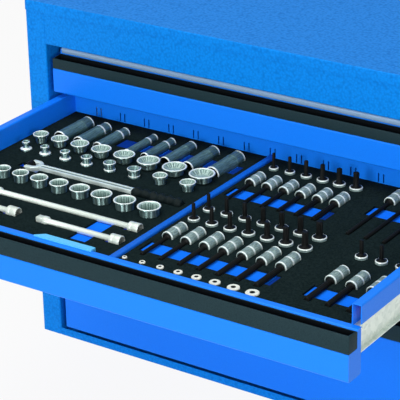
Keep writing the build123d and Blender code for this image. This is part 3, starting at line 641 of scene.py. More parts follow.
@dataclass
class StandingSockets:
    """A row of sockets on their drive ends, their diameters growing from left to right."""

    name: str
    node: str
    y: float
    first_d: float
    step: float
    rim_h: float
    mouth: float
    bowl: float
    shank_first: float
    shank_step: float = 0.0
    first_x: float = 0.0
    count: int = 0
    gap: float = 0.0
    body_share: float = 0.0
    cone_extra: float = 0.0
    above: float = 12.5
    point_share: float = 0.86
    valley_share: float = 0.88
    chamfer: float = 0.6
    wall: float = 0.6
    foot_rise: float = 0.1
    bowl_power: float = 1.8
    bowl_shares: tuple[float, ...] = (1.0, 0.85, 0.6, 0.3)
    cone_share: float = 0.84
    floor_share: float = 0.78

    def places(self) -> Iterator[tuple[float, float, float]]:
        """Places and sizes of the sockets.

        Returns:
            X, rim diameter and shank diameter of each socket.
        """
        x = self.first_x
        for index in range(self.count):
            rim_d = self.first_d + self.step * index
            yield x, rim_d, self.shank_first + self.shank_step * index
            x += rim_d + self.step / 2 + self.gap

    def rings(self, rim_d: float, shank_d: float) -> list[Ring]:
        """Outline of one socket.

        Args:
            rim_d: Diameter of the rim.
            shank_d: Diameter of the shank.

        Returns:
            Rings from the drive end over the rim down into the mouth.
        """
        rim, shank, top, cut = rim_d / 2, shank_d / 2, self.above, self.chamfer
        band = top - self.rim_h
        body = max(shank, rim * self.body_share)
        flare = rim - body
        lead = rim * self.point_share
        point = lead if self.mouth <= self.rim_h else min(lead, shank - self.wall)
        valley = self.valley_share
        cone_end = top - self.mouth - self.bowl - self.cone_extra
        foot = []
        if body > shank:
            foot = [Ring(shank, cut), Ring(body - cut, cut + self.foot_rise), Ring(body, 2 * cut)]
        bowl = [
            Ring(body + flare * (1 - share**self.bowl_power), band - self.bowl * share)
            for share in self.bowl_shares
        ]
        return [
            Ring(shank - cut, -STAND_DEPTH),
            Ring(shank, -STAND_DEPTH + cut),
            *foot,
            *bowl,
            Ring(rim, band),
            Ring(rim, top - cut),
            Ring(rim - cut, top, finish=HIGHLIGHT_BAND),
            Ring(lead + cut, top, finish=HIGHLIGHT_BAND),
            Ring(lead, top - cut, finish=HIGHLIGHT_BAND),
            Ring(point, top - 3 * cut, valley, finish=BORE),
            Ring(point, top - self.mouth, valley, finish=BORE, painted_flank_shade=True),
            Ring(body * self.cone_share, cone_end, valley, finish=BORE, painted_flank_shade=True),
            Ring(body * self.floor_share, cone_end - cut, valley, finish=BORE),
        ]

    def build(self) -> bpy.types.Object:
        """Model, place and dress the row.

        Returns:
            The row.
        """
        pieces = []
        for x, rim_d, shank_d in self.places():
            piece = Bench.turned(self.name, self.rings(rim_d, shank_d), SOCKET_FINISHES)
            pieces.append(Bench.place(piece, seat(x, self.y)))
        row = Bench.joined(self.name, pieces)
        return dress(row, self.node.replace("_sockets", "_socket_row"), "tool_chrome", self.node)


@dataclass
class SmallSockets(StandingSockets):
    """The row of small sockets: spools with wide drive ends, then plain cups."""

    base_d: float = 17.0
    flange: float = 2.4
    cup_from: float = 20.4
    waist_cut: float = 2.2
    spool_mouth: float = 3.0
    spool_point_share: float = 0.74
    spool_floor_share: float = 0.4
    slope_share: float = 0.6
    hollow_shares: tuple[float, float] = (0.3, 0.45)

    def places(self) -> Iterator[tuple[float, float, float]]:
        """X of the large row, rim diameter and shank diameter of each socket."""
        for index, (x, _, _) in enumerate(LARGE_SOCKETS.places()):
            yield x, self.first_d + self.step * index, self.shank_first

    def rings(self, rim_d: float, shank_d: float) -> list[Ring]:
        """Outline of one socket, a spool where the rim is narrower than the drive end and its waist.

        Args:
            rim_d: Diameter of the rim.
            shank_d: Diameter of the shank of a plain cup.

        Returns:
            Rings from the drive end over the rim down into the mouth.
        """
        if rim_d >= self.cup_from:
            return super().rings(rim_d, shank_d)
        rim, base, top, cut = rim_d / 2, self.base_d / 2, self.above, self.chamfer
        waist = rim - self.waist_cut
        point = rim * self.spool_point_share
        slope = (base - waist) * self.slope_share
        out_share, up_share = self.hollow_shares
        mouth = top - self.spool_mouth
        return [
            Ring(base - cut, -STAND_DEPTH),
            Ring(base, -STAND_DEPTH + cut),
            Ring(base, self.flange - cut),
            Ring(base - cut, self.flange, finish=HIGHLIGHT_BAND),
            Ring(waist + (base - waist) * out_share, self.flange + slope * up_share, finish=HIGHLIGHT_BAND),
            Ring(waist, self.flange + slope),
            Ring(waist, mouth - cut),
            Ring(rim, mouth),
            Ring(rim, top - cut),
            Ring(rim - cut, top, finish=HIGHLIGHT_BAND),
            Ring((rim + point) / 2, top, finish=HIGHLIGHT_BAND),
            Ring(point, top - cut, self.valley_share),
            Ring(point, mouth, self.valley_share),
            Ring(point * self.spool_floor_share, mouth - cut / 2),
        ]


LARGE_SOCKETS = StandingSockets(
    "large_socket_row_chrome", "large_sockets", y=264.0, first_d=23.3, step=1.95, rim_h=2.0, mouth=2.0,
    bowl=2.8, shank_first=15.6, shank_step=0.35, first_x=29.0, count=8, gap=9.9, body_share=0.71,
    cone_extra=1.0, valley_share=0.9,
)
MEDIUM_SOCKETS = StandingSockets(
    "medium_socket_row_chrome", "medium_sockets", y=136.5, first_d=20.8, step=1.45, rim_h=2.0, mouth=13.0,
    bowl=1.2, shank_first=17.06, shank_step=1.19, first_x=32.3, count=9, gap=8.1,
)
SMALL_SOCKETS = SmallSockets(
    "small_socket_row_chrome", "small_sockets", y=229.0, first_d=11.3, step=1.64, rim_h=3.4, mouth=3.2,
    bowl=2.2, shank_first=15.0,
)


@dataclass
class DeepSockets:
    """Two groups of deep sockets that lie with their mouths to the front."""

    NECK: ClassVar[Profile] = (
        (0.8, 0.0, SKIN), (-0.2, 0.8, HIGHLIGHT_BAND), (-0.2, 3.0, HIGHLIGHT_BAND), (0.3, 3.5, SKIN), (0.3, 4.7, SKIN),
        (0.0, 5.2, SKIN),
    )
    LIP: ClassVar[Profile] = (
        (0.3, -2.6, SKIN), (0.0, -2.2, SKIN), (0.0, -0.8, HIGHLIGHT_BAND), (0.8, 0.0, HIGHLIGHT_BAND),
    )
    left_count: int = 3
    left_x: float = 48.0
    left_y: float = 283.0
    left_pitch: float = 34.0
    left_d: float = 23.0
    left_shrink: float = 2.4
    right_count: int = 5
    right_x: float = 164.0
    right_y: float = 288.0
    right_pitch: float = 31.0
    right_spread: float = 3.5
    right_d: float = 13.2
    right_growth: float = 2.35
    right_collars: int = 2
    length: float = 70.0
    neck_cut: float = 1.2
    least_neck: float = 6.1
    skin_cut: float = 0.3
    collar_at: float = 17.0
    collar_w: float = 3.0
    collar_rise: float = 1.0
    collar_fall: float = 0.4
    mouth: float = 26.0
    mouth_lead: float = 1.2
    mouth_floor: float = 0.4
    point_share: float = 0.8
    valley_share: float = 0.9
    floor_share: float = 0.4

    def places(self) -> Iterator[tuple[float, float, float, bool]]:
        """Places and sizes of the sockets.

        Returns:
            X, Y of the drive end, diameter and collar of each socket.
        """
        for index in range(self.left_count):
            x = self.left_x + self.left_pitch * index
            yield x, self.left_y + self.length, self.left_d - self.left_shrink * index, index > 0
        for index in range(self.right_count):
            x = self.right_x + self.right_pitch * index + self.right_spread * index * (index - 1) / 2
            diameter = self.right_d + self.right_growth * index
            yield x, self.right_y + self.length, diameter, index < self.right_collars

    def rings(self, diameter: float, collar: bool) -> list[Ring]:
        """Outline of one socket.

        Args:
            diameter: Outer diameter.
            collar: Whether a collar with a painted highlight ends a narrower neck.

        Returns:
            Rings from the drive end to the floor of the mouth.
        """
        outer, end, step = diameter / 2, self.length, self.collar_at
        neck = max(outer - self.neck_cut, self.least_neck) if collar else outer - self.skin_cut
        band = HIGHLIGHT_BAND if collar else SKIN
        point, valley = outer * self.point_share, self.valley_share
        floor = end - self.mouth
        return [
            *outline(neck, 0.0, self.NECK),
            Ring(neck, step - self.collar_rise),
            Ring(outer, step, finish=band),
            Ring(outer, step + self.collar_w, finish=band),
            Ring(outer - self.skin_cut, step + self.collar_w + self.collar_fall),
            *outline(outer, end, self.LIP),
            Ring((outer + point) / 2, end, finish=HIGHLIGHT_BAND),
            Ring(point, end - self.mouth_lead, valley, finish=BORE),
            Ring(point, floor, valley, finish=BORE),
            Ring(point * self.floor_share, floor - self.mouth_floor, finish=BORE),
        ]

    def build(self) -> bpy.types.Object:
        """Model, place and dress the sockets.

        Returns:
            The group of sockets.
        """
        pieces = []
        for x, y, diameter, collar in self.places():
            rings = self.rings(diameter, collar)
            piece = Bench.turned("deep_socket", rings, (DEEP_CHROME, RIM_HIGHLIGHT, BORE_SHADE))
            pieces.append(Bench.place(piece, seat(x, y, LYING_AXIS) @ LYING))
        row = Bench.joined("deep_socket_group_chrome", pieces)
        return dress(row, "deep_socket_row", "tool_chrome", "deep_sockets")


@dataclass
class RecessShadePads:
    """Thin dark blue sheets on the recess floors, between the deep sockets and right of the last bits of two
    rows: painted shade.
    """

    left: float = 128.6
    right_margin: float = 10.1
    y: float = 306.6
    depth: float = 30.8
    floor: float = -3.0
    lift: float = 0.02
    thickness: float = 0.5
    edge: float = 0.2
    gap: float = 1.2
    bit_end: float = 12.4
    bit_front: float = 45.4
    bit_depth: float = 29.8

    def spans(self) -> Iterator[tuple[float, float, float, float]]:
        """Places of the pads.

        Returns:
            Start, end, front edge and depth of each pad.
        """
        sockets = [(x, size / 2 + self.gap) for x, _, size, _ in DeepSockets().places() if x > self.left]
        starts = [self.left] + [x + half for x, half in sockets]
        insert_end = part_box("foam_top_left")[1][0] / MM - LEFT_WALL
        ends = [x - half for x, half in sockets] + [insert_end - self.right_margin]
        for start, end in zip(starts, ends):
            yield start, end, self.y, self.depth
        for x, y, _, _, across in (UPPER_BITS[-1], LOWER_BITS[-1]):
            yield x + across / 2 + self.gap, x + self.bit_end, y - self.bit_front, self.bit_depth

    def build(self) -> bpy.types.Object:
        """Model, place and dress the pads.

        Returns:
            The pads.
        """
        pads = []
        for start, end, front, depth in self.spans():
            if end - start > self.gap:
                low = (start, front, self.floor + self.lift)
                pad = Bench.block("pad", low, (end, front + depth, self.floor + self.thickness))
                pad.data.materials.append(FOAM_SHADE.material())
                Bench.round_edges(pad, self.edge)
                pads.append(Bench.place(pad, seat(0.0, 0.0)))
        return dress(Bench.joined("deep_recess_lining", pads), "socket_drawer", "foam_blue")


@dataclass
class SunkSockets:
    """Small sockets sunk almost to their rims along the front edge."""

    FOOT: ClassVar[Profile] = ((0.3, 0.0, SKIN), (0.0, 0.3, SKIN))
    LIP: ClassVar[Profile] = ((0.0, -0.6, SKIN), (0.5, 0.0, SKIN))
    first_x: float = 359.5
    y: float = 11.8
    count: int = 8
    pitch: float = 27.3
    first_d: float = 6.6
    step: float = 1.6
    above: float = 1.6
    points: int = 6
    edge: float = 0.12
    hole_edge: float = 0.5
    hole_lead: float = 0.6
    hole_depth: float = 8.0
    hole_end: float = 8.3
    hole_share: float = 0.34
    valley_share: float = 0.86
    floor_share: float = 0.4

    def rings(self, rim: float) -> list[Ring]:
        """Outline of one socket.

        Args:
            rim: Radius of the rim.

        Returns:
            Rings from the foot over the rim down into the hole.
        """
        hole, top, valley = rim * self.hole_share, self.above, self.valley_share
        return [
            *outline(rim, -STAND_DEPTH, self.FOOT),
            *outline(rim, top, self.LIP),
            Ring(hole + self.hole_edge, top),
            Ring(hole, top - self.hole_lead, valley, finish=INNER),
            Ring(hole, top - self.hole_depth, valley, finish=INNER),
            Ring(hole * self.floor_share, top - self.hole_end, finish=INNER),
        ]

    def build(self) -> bpy.types.Object:
        """Model, place and dress the row.

        Returns:
            The row.
        """
        pieces = []
        for index in range(self.count):
            rings = self.rings((self.first_d + self.step * index) / 2)
            finishes = (CREAM_RIM, BORE_SHADE)
            piece = Bench.turned("sunk_socket", rings, finishes, points=self.points, edge=self.edge)
            pieces.append(Bench.place(piece, seat(self.first_x + self.pitch * index, self.y)))
        row = Bench.joined("sunk_socket_row_chrome", pieces)
        return dress(row, "sunk_socket_row", "tool_chrome", "sunk_sockets")


@dataclass
class ExtensionBar:
    """An extension bar along X with its female end to the right."""

    SHOULDER: ClassVar[Profile] = ((0.8, -0.8, SKIN), (0.0, 0.0, SKIN), (0.0, 5.6, SKIN))
    TAPER: ClassVar[Profile] = ((-0.6, 8.0, SKIN), (0.0, 9.5, SKIN))
    FLARE: ClassVar[Profile] = ((0.0, -2.6, SKIN), (-1.2, -1.2, SKIN))
    HEAD: ClassVar[Profile] = (
        (0.0, 0.0, SKIN), (0.0, 4.4, SKIN), (0.4, 4.8, SKIN), (0.4, 6.2, SKIN), (0.0, 6.6, SKIN),
    )
    RIM: ClassVar[Profile] = ((0.0, -0.8, SKIN), (0.8, 0.0, SKIN))
    HOLE: ClassVar[Profile] = ((-0.5, 0.0, SKIN), (0.0, -0.8, INNER))
    name: str
    x: float
    y: float
    length: float
    shaft_d: float = 8.6
    end_d: float = 16.0
    end_len: float = 16.0
    shoulder_d: float = 13.4
    root_d: float = 8.0
    root_drop: float = 1.0
    hole_d: float = 12.8
    hole_end_d: float = 12.4
    square: float = 9.6
    square_len: float = 11.0
    square_edge: float = 0.8
    sides: int = 40

    def build(self) -> bpy.types.Object:
        """Model, place and dress the bar.

        Returns:
            The bar.
        """
        shaft, end, low, length = self.shaft_d / 2, self.end_d / 2, self.square_len, self.length
        flare = length - self.end_len
        rings = [
            Ring(self.root_d / 2, low - self.root_drop),
            *outline(self.shoulder_d / 2, low, self.SHOULDER),
            *outline(shaft, low, self.TAPER),
            *outline(shaft, flare, self.FLARE),
            *outline(end, flare, self.HEAD),
            *outline(end, length, self.RIM),
            *outline(self.hole_d / 2, length, self.HOLE),
            Ring(self.hole_end_d / 2, length - self.square_len, finish=INNER),
        ]
        bar = Bench.turned(self.name, rings, (SATIN_CHROME, PALE_BORE), sides=self.sides)
        half = self.square / 2
        square = Bench.block("drive_square", (-half, -half, 0), (half, half, low))
        square.data.materials.append(SATIN_CHROME.material())
        Bench.round_edges(square, self.square_edge)
        whole = Bench.joined(self.name + "_satin", [bar, square])
        Bench.place(whole, seat(self.x, self.y, LYING_AXIS) @ ALONG_X)
        return dress(whole, "extension_" + self.name.split("_")[0], "satin_chrome", self.name)


@dataclass
class HandleBar:
    """Forked bar of the hinged handle, its fork around the pivot and a groove along its top, the groove in a
    darker finish that paints its shade.
    """

    x: float = 80.0
    y: float = 183.0
    fork_r: float = 13.5
    slot: float = 13.0
    fork_t: float = 9.0
    fork_steps: int = 24
    fork_edge: float = 1.4
    prong: float = 9.0
    end: float = 250.0
    width: float = 10.5
    height: float = 8.0
    overlap: float = 3.0
    land: float = 2.9
    groove: float = 1.0
    shaft_edge: float = 0.9

    def build(self) -> bpy.types.Object:
        """Model, place and dress the bar.

        Returns:
            The bar.
        """
        bar = Bench.joined("handle_bar_satin", [self._shaft(), self._fork()])
        Bench.place(bar, seat(self.x, self.y, LYING_AXIS))
        return dress(bar, "hinged_handle", "tool_chrome", "handle_bar")

    def _shaft(self) -> bpy.types.Object:
        """Shaft with its groove.

        Returns:
            The shaft in the fork's own place.
        """
        half, top = self.width / 2, self.height / 2
        low = (self.fork_r - self.overlap, -half, -top)
        shaft = Bench.block("shaft", low, (self.end - self.x, half, top))
        for finish in (BAR_CHROME, BAR_GROOVE_SHADE):
            shaft.data.materials.append(finish.material())
        Bench.edit_top(shaft)
        bpy.ops.mesh.inset(thickness=self.land, depth=0)
        bpy.ops.mesh.extrude_region_move(TRANSFORM_OT_translate={"value": (0, 0, -self.groove)})
        # The groove takes the darker finish: painted shade.
        shaft.active_material_index = INNER
        bpy.ops.object.material_slot_assign()
        bpy.ops.object.mode_set(mode="OBJECT")
        Bench.round_edges(shaft, self.shaft_edge, segments=3)
        return shaft

    def _fork(self) -> bpy.types.Object:
        """Fork that is spun half round the pivot and drawn out into its prongs.

        Returns:
            The fork.
        """
        Bench.clear()
        bpy.ops.mesh.primitive_plane_add(size=1.0, rotation=(0, math.radians(90), 0))
        fork = bpy.context.object
        inner = self.slot / 2
        fork.location = (0, (inner + self.fork_r) / 2, 0)
        fork.scale = (self.fork_t, self.fork_r - inner, 1)
        bpy.ops.object.transform_apply(location=True, rotation=True, scale=True)
        fork.data.materials.append(BAR_CHROME.material())
        bpy.ops.object.mode_set(mode="EDIT")
        bpy.ops.mesh.select_mode(type="FACE")
        bpy.ops.mesh.select_all(action="SELECT")
        bpy.ops.mesh.spin(steps=self.fork_steps, angle=math.pi, center=(0, 0, 0), axis=(0, 0, 1))
        bpy.ops.mesh.select_all(action="SELECT")
        bpy.ops.mesh.normals_make_consistent(inside=False)
        mesh = bmesh.from_edit_mesh(fork.data)
        for face in mesh.faces:
            at_pivot = abs(face.calc_center_median().x) < NEAR
            face.select_set(face.normal.x < -FACING and at_pivot)
        bmesh.update_edit_mesh(fork.data)
        bpy.ops.mesh.extrude_region_move(TRANSFORM_OT_translate={"value": (-self.prong, 0, 0)})
        bpy.ops.mesh.select_all(action="SELECT")
        bpy.ops.mesh.normals_make_consistent(inside=False)
        bpy.ops.object.mode_set(mode="OBJECT")
        Bench.round_edges(fork, self.fork_edge, segments=3)
        return fork


@dataclass
class HandleGrip:
    """Rubber grip of the hinged handle with finger waves."""

    waves: int = 6
    steps: int = 6
    depth: float = 0.15
    end_len: float = 0.8
    end_share: float = 0.6
    sides: int = 32
    edge: float = 0.4

    def build(self) -> bpy.types.Object:
        """Model, place and dress the grip.

        Returns:
            The grip.
        """
        low, high = (Vector(corner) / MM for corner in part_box("handle_grip"))
        length, radius = high.x - low.x, (high.z - low.z) / 2
        count, waved = self.waves * self.steps, length - 2 * self.end_len
        rings = [Ring(radius * self.end_share, 0.0)]
        for index in range(count + 1):
            wave = 1 - self.depth * (1 + math.cos(math.tau * index / self.steps))
            rings.append(Ring(radius * wave, self.end_len + waved * index / count))
        rings.append(Ring(radius * self.end_share, length))
        grip = Bench.turned("handle_grip_rubber", rings, (GRIP_RUBBER,), sides=self.sides, edge=self.edge)
        middle = (low + high) / 2
        spot = Matrix.Translation(Vector((low.x, middle.y, middle.z)) * MM) @ Matrix.Scale(MM, 4)
        Bench.place(grip, spot @ ALONG_X)
        return dress(grip, "hinged_handle", "grip_rubber", "handle_grip")


class BitTip(Enum):
    """Sections of the bits: their points and the share of the radius between the points."""

    HEX = (6, 0.9)
    STAR = (6, 0.78)
    SPLINE = (12, 0.86)


@dataclass
class BitRow:
    """Bit sockets of one group: bodies with pressed-in black bits."""

    name: str
    body: str
    tip: BitTip
    body_d: float = 16.6
    body_sides: int = 40
    hole_r: float = 3.6
    ring_wall: float = 1.6
    shank_r: float = 3.4
    shank_len: float = 11.0
    collar_h: float = 0.8
    collar_gap: float = 0.02
    tip_len: float = 1.0
    bit_sides: int = 24
    edge: float = 0.12
    blade_share: float = 1.08
    collar_share: float = 0.4
    shoulder_shares: tuple[float, float] = (1.3, 0.7)
    neck_shares: tuple[float, float] = (1.15, 1.8)
    start_share: float = 3.5
    tip_share: float = 0.8

    def bit(self, body_d: float, across: float, length: float) -> bpy.types.Object:
        """One black bit along Z from the body's face.

        Args:
            body_d: Diameter of the body.
            across: Size of the blade.
            length: Length from the body's face to the tip.

        Returns:
            The bit.
        """
        collar, blade = body_d / 2 - self.ring_wall, across / 2 * self.blade_share
        points, valley = self.tip.value
        of_blade, of_collar = self.shoulder_shares
        neck_share, neck_h_share = self.neck_shares
        rings = [
            Ring(self.shank_r, -self.shank_len),
            Ring(self.shank_r, 0.0),
            Ring(collar, self.collar_gap),
            Ring(collar, self.collar_h * self.collar_share),
            Ring(max(blade * of_blade, collar * of_collar), self.collar_h),
            Ring(blade * neck_share, self.collar_h * neck_h_share),
            Ring(blade, self.collar_h * self.start_share, valley),
            Ring(blade, length - self.tip_len, valley),
            Ring(blade * self.tip_share, length, valley),
        ]
        return Bench.turned("bit", rings, (BLACK_STEEL,), self.bit_sides, points, self.edge)

    def finish_group(
        self, bodies: Sequence[bpy.types.Object], bits: Sequence[bpy.types.Object]
    ) -> list[bpy.types.Object]:
        """Join and dress the group's bodies and bits.

        Args:
            bodies: Bodies in their places.
            bits: Bits in their places.

        Returns:
            The joined bodies and the joined bits.
        """
        row = Bench.joined(self.name + "_bodies_chrome", bodies)
        blades = Bench.joined(self.name + "_bits_black", bits)
        return [
            dress(row, self.body, "tool_chrome", self.name + "_bodies"),
            dress(blades, self.body, "black_steel", self.name + "_bits"),
        ]


@dataclass
class StandingBits(BitRow):
    """Bit sockets that stand in the foam."""

    FOOT: ClassVar[Profile] = ((0.9, 0.0, SKIN), (0.0, 0.9, SKIN))
    RIM: ClassVar[Profile] = ((0.0, -1.2, SKIN), (0.3, -0.4, HIGHLIGHT_BAND), (0.9, 0.0, HIGHLIGHT_BAND))
    DISH: ClassVar[Profile] = ((-0.3, 0.0, HIGHLIGHT_BAND), (0.0, -0.5, SKIN))
    places: tuple[tuple[float, float, float, float], ...] = ()
    above: float = 3.6
    bit_len: float = 21.0
    dish: float = 0.6

    def build(self) -> list[bpy.types.Object]:
        """Model, place and dress the group.

        Returns:
            The bodies and the bits.
        """
        bodies, bits = [], []
        for x, y, body_d, across in self.places:
            outer = body_d / 2
            rings = [
                *outline(outer, -STAND_DEPTH - self.above, self.FOOT),
                *outline(outer, 0.0, self.RIM),
                *outline(outer - self.ring_wall, 0.0, self.DISH),
                Ring(self.hole_r, -self.dish),
            ]
            spot = seat(x, y, self.above)
            finishes = (BODY_CHROME, RIM_HIGHLIGHT)
            body = Bench.turned("body", rings, finishes, sides=self.body_sides, edge=self.edge)
            bodies.append(Bench.place(body, spot))
            bits.append(Bench.place(self.bit(body_d, across, self.bit_len), spot))
        return self.finish_group(bodies, bits)


@dataclass
class LyingBits(BitRow):
    """Bit sockets that lie with their bits to the front.

    The band's places are shares of the body's length from its front face, and the rib's of its pitch.
    """

    DRIVE_END: ClassVar[Profile] = (
        (1.4, 0.0, SKIN), (0.5, 0.0, HIGHLIGHT_BAND), (0.0, 0.5, HIGHLIGHT_BAND), (0.0, 2.6, HIGHLIGHT_BAND), (0.5, 3.0, SKIN),
        (0.5, 3.8, SKIN), (0.15, 4.1, SKIN),
    )
    BAND_SHARES: ClassVar[Profile] = (
        (0.15, 0.60, SKIN), (0.6, 0.59, SKIN), (0.6, 0.56, SKIN), (0.0, 0.55, HIGHLIGHT_BAND), (0.0, 0.46, HIGHLIGHT_BAND),
        (0.6, 0.45, SKIN),
    )
    RIB_SHARES: ClassVar[tuple[tuple[float, float], ...]] = ((0.1, 0.1), (0.1, 0.75), (0.4, 0.85))
    FACE: ClassVar[Profile] = (
        (0.0, -2.2, SKIN), (0.0, -0.6, HIGHLIGHT_BAND), (0.6, 0.0, HIGHLIGHT_BAND), (1.9, 0.0, SKIN), (2.4, -0.6, BORE),
    )
    places: tuple[tuple[float, float, float, float, float], ...] = ()
    ribs: int = 4
    ribs_share: float = 0.43
    ribs_end: float = 2.4
    drive_r: float = 5.6
    drive_depth: float = 2.0
    dish: float = 0.7
    body_edge: float = 0.1

    def body_rings(self, length: float) -> list[Ring]:
        """Outline of a body along Z, its front face at zero.

        Args:
            length: Length of the body.

        Returns:
            Rings from the drive end to the front face.
        """
        outer = self.body_d / 2
        start = -length * self.ribs_share
        pitch = (-self.ribs_end - start) / self.ribs
        return [
            Ring(self.drive_r, -length + self.drive_depth, finish=BORE),
            *outline(outer, -length, self.DRIVE_END),
            *(Ring(outer - cut, -length * share, finish=finish) for cut, share, finish in self.BAND_SHARES),
            *(
                Ring(outer - cut, start + pitch * index + pitch * share)
                for index in range(self.ribs)
                for cut, share in self.RIB_SHARES
            ),
            *outline(outer, 0.0, self.FACE),
            Ring(self.hole_r, -self.dish, finish=BORE),
        ]

    def build(self) -> list[bpy.types.Object]:
        """Model, place and dress the group.

        Returns:
            The bodies and the bits.
        """
        bodies, bits = [], []
        for x, y, body_len, bit_len, across in self.places:
            spot = seat(x, y, LYING_AXIS) @ LYING
            finishes = (BODY_CHROME, RIM_HIGHLIGHT, BORE_SHADE)
            rings = self.body_rings(body_len)
            body = Bench.turned("body", rings, finishes, sides=self.body_sides, edge=self.body_edge)
            bodies.append(Bench.place(body, spot))
            bits.append(Bench.place(self.bit(self.body_d, across, bit_len), spot))
        return self.finish_group(bodies, bits)


def stand_row(
    x: float, y: float, pitch: float, count: int, body_d: float, body_step: float, across: float,
    across_step: float,
) -> tuple[tuple[float, float, float, float], ...]:
    """X, Y, body diameter and bit size of each bit socket in a standing row."""
    return tuple((x + pitch * i, y, body_d + body_step * i, across + across_step * i) for i in range(count))


def lie_row(
    x: float, y: float, pitch: float, count: int, body_len: float, bit_len: float, across: float,
    across_step: float,
) -> tuple[tuple[float, float, float, float, float], ...]:
    """X, Y, body length, bit length and bit size of each bit socket in a lying row."""
    return tuple((x + pitch * i, y, body_len, bit_len, across + across_step * i) for i in range(count))


BACK_STAND = stand_row(
    x=371.6, y=350.0, pitch=26.3, count=6, body_d=13.6, body_step=1.0, across=4.0, across_step=0.8
)
MIDDLE_STAND = stand_row(
    x=371.0, y=187.5, pitch=28.4, count=7, body_d=16.2, body_step=0.6, across=4.6, across_step=0.6
) + stand_row(
    x=371.0, y=151.5, pitch=28.4, count=7, body_d=16.2, body_step=0.6, across=4.6, across_step=0.6
)
SIDE_STAND = stand_row(
    x=614.5, y=167.0, pitch=28.8, count=3, body_d=16.6, body_step=0.0, across=5.2, across_step=0.0
)
UPPER_BITS = lie_row(
    x=372.0, y=287.0, pitch=26.6, count=6, body_len=30.0, bit_len=55.0, across=4.6, across_step=0.5
)
LONG_BITS = lie_row(
    x=565.0, y=330.0, pitch=26.6, count=5, body_len=32.0, bit_len=113.0, across=5.0, across_step=0.0
)
LOWER_BITS = lie_row(
    x=373.0, y=86.5, pitch=28.6, count=7, body_len=37.0, bit_len=57.0, across=5.0, across_step=0.45
)
SIDE_BITS = lie_row(
    x=616.2, y=86.5, pitch=29.2, count=3, body_len=35.0, bit_len=57.0, across=7.4, across_step=0.0
)
BIT_ROWS: tuple[StandingBits | LyingBits, ...] = (
    StandingBits("back_standing", "back_standing_row", BitTip.HEX, places=BACK_STAND),
    StandingBits("middle_standing", "middle_standing_rows", BitTip.STAR, places=MIDDLE_STAND + SIDE_STAND),
    LyingBits("upper_lying", "upper_lying_row", BitTip.STAR, places=UPPER_BITS),
    LyingBits("long_lying", "long_lying_row", BitTip.HEX, places=LONG_BITS),
    LyingBits("lower_lying", "lower_lying_row", BitTip.SPLINE, places=LOWER_BITS + SIDE_BITS),
)


@dataclass
class GripStrip:
    """Plastic finger grip in the notch along the top of a drawer front; its groove is painted black as
    shade.
    """

    drawer: str
    wall: float = 2.4
    floor: float = 2.6
    back_drop: float = 2.0
    front_drop: float = 0.0
    edge: float = 0.8

    def build(self) -> bpy.types.Object:
        """Model, place and dress the strip.

        Returns:
            The strip.
        """
        node = self.drawer + "_grip_strip"
        low, high = (Vector(corner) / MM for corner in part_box(node))
        strip = Bench.block(node + "_moulded", low, high)
        for finish in (GRIP_PLASTIC, GRIP_SHADOW):
            strip.data.materials.append(finish.material())
        Bench.edit_top(strip)
        bpy.ops.mesh.inset(thickness=self.wall, depth=0)
        depth = self.floor - (high.z - low.z)
        bpy.ops.mesh.extrude_region_move(TRANSFORM_OT_translate={"value": (0, 0, depth)})
        # The groove's inner faces take the black finish: painted shade.
        strip.active_material_index = INNER
        bpy.ops.mesh.select_more()
        mesh = bmesh.from_edit_mesh(strip.data)
        for face in mesh.faces:
            face.select_set(face.select and face.calc_center_median().z < high.z - NEAR)
        bmesh.update_edit_mesh(strip.data)
        bpy.ops.object.material_slot_assign()
        bpy.ops.mesh.select_mode(type="VERT")
        middle = (low.y + high.y) / 2
        for side, drop in ((1, self.back_drop), (-1, self.front_drop)):
            mesh = bmesh.from_edit_mesh(strip.data)
            for vert in mesh.verts:
                vert.select_set((vert.co.y - middle) * side > 0 and vert.co.z > high.z - drop - NEAR)
            mesh.select_flush_mode()
            bmesh.update_edit_mesh(strip.data)
            bpy.ops.transform.translate(value=(0, 0, -drop))
        bpy.ops.object.mode_set(mode="OBJECT")
        Bench.round_edges(strip, self.edge, segments=3)
        Bench.place(strip, Matrix.Scale(MM, 4))
        return dress(strip, self.drawer + "_drawer", "grip_plastic", node)


@dataclass
class LipHighlightBead:
    """Bead along the front edge of the upper drawer's lip, in a pale finish that paints the lip's highlight.
    """

    drawer: str
    depth: float = 8.0
    height: float = 2.8
    overhang: float = 1.6
    hang: float = 6.4
    margin: float = 2.0

    def build(self) -> bpy.types.Object:
        """Model, place and dress the bead.

        Returns:
            The bead.
        """
        low, high = (Vector(corner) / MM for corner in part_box(self.drawer + "_grip_strip"))
        corner = (low.x + self.margin, high.y - self.overhang, high.z - self.hang)
        reach = (high.x - self.margin, high.y + self.depth, high.z + self.height)
        glint_bead = Bench.block(self.drawer + "_lip_trim", corner, reach)
        glint_bead.data.materials.append(LIP_HIGHLIGHT.material())
        Bench.round_edges(glint_bead, self.height, segments=5)
        Bench.place(glint_bead, Matrix.Scale(MM, 4))
        return dress(glint_bead, self.drawer + "_drawer", "drawer_paint")


CAD_FINISHES: dict[Finish, tuple[str, ...]] = {
    CHEST_PAINT: (
        "side_panel_left", "side_panel_right", "back_panel", "base_panel", "top_panel", "front_fascia",
    ),
    UPRIGHT_SHADE: ("runner_uprights",),
    DRAWER_PAINT: (
        "upper_tray", "upper_front", "socket_tray", "socket_front", "third_tray", "third_front", "deep_tray",
        "deep_front",
    ),
    DIVIDER_PAINT: ("divider",),
    ZINC: (
        "fixed_runners", "upper_inner_runners", "socket_inner_runners", "third_inner_runners",
        "deep_inner_runners", "upper_middle_runners", "socket_middle_runners", "third_middle_runners",
        "deep_middle_runners",
    ),
    FASTENER: ("runner_rivets", "back_screws", "handle_pivot_pin"),
    FOAM_BLACK: ("foam_top_left", "foam_top_right"),
    FOAM_BLUE: ("foam_base_left", "foam_base_right"),
    LABEL_PLASTIC: ("label_holder",),
    BLACK_STEEL: ("handle_drive_head",),
}


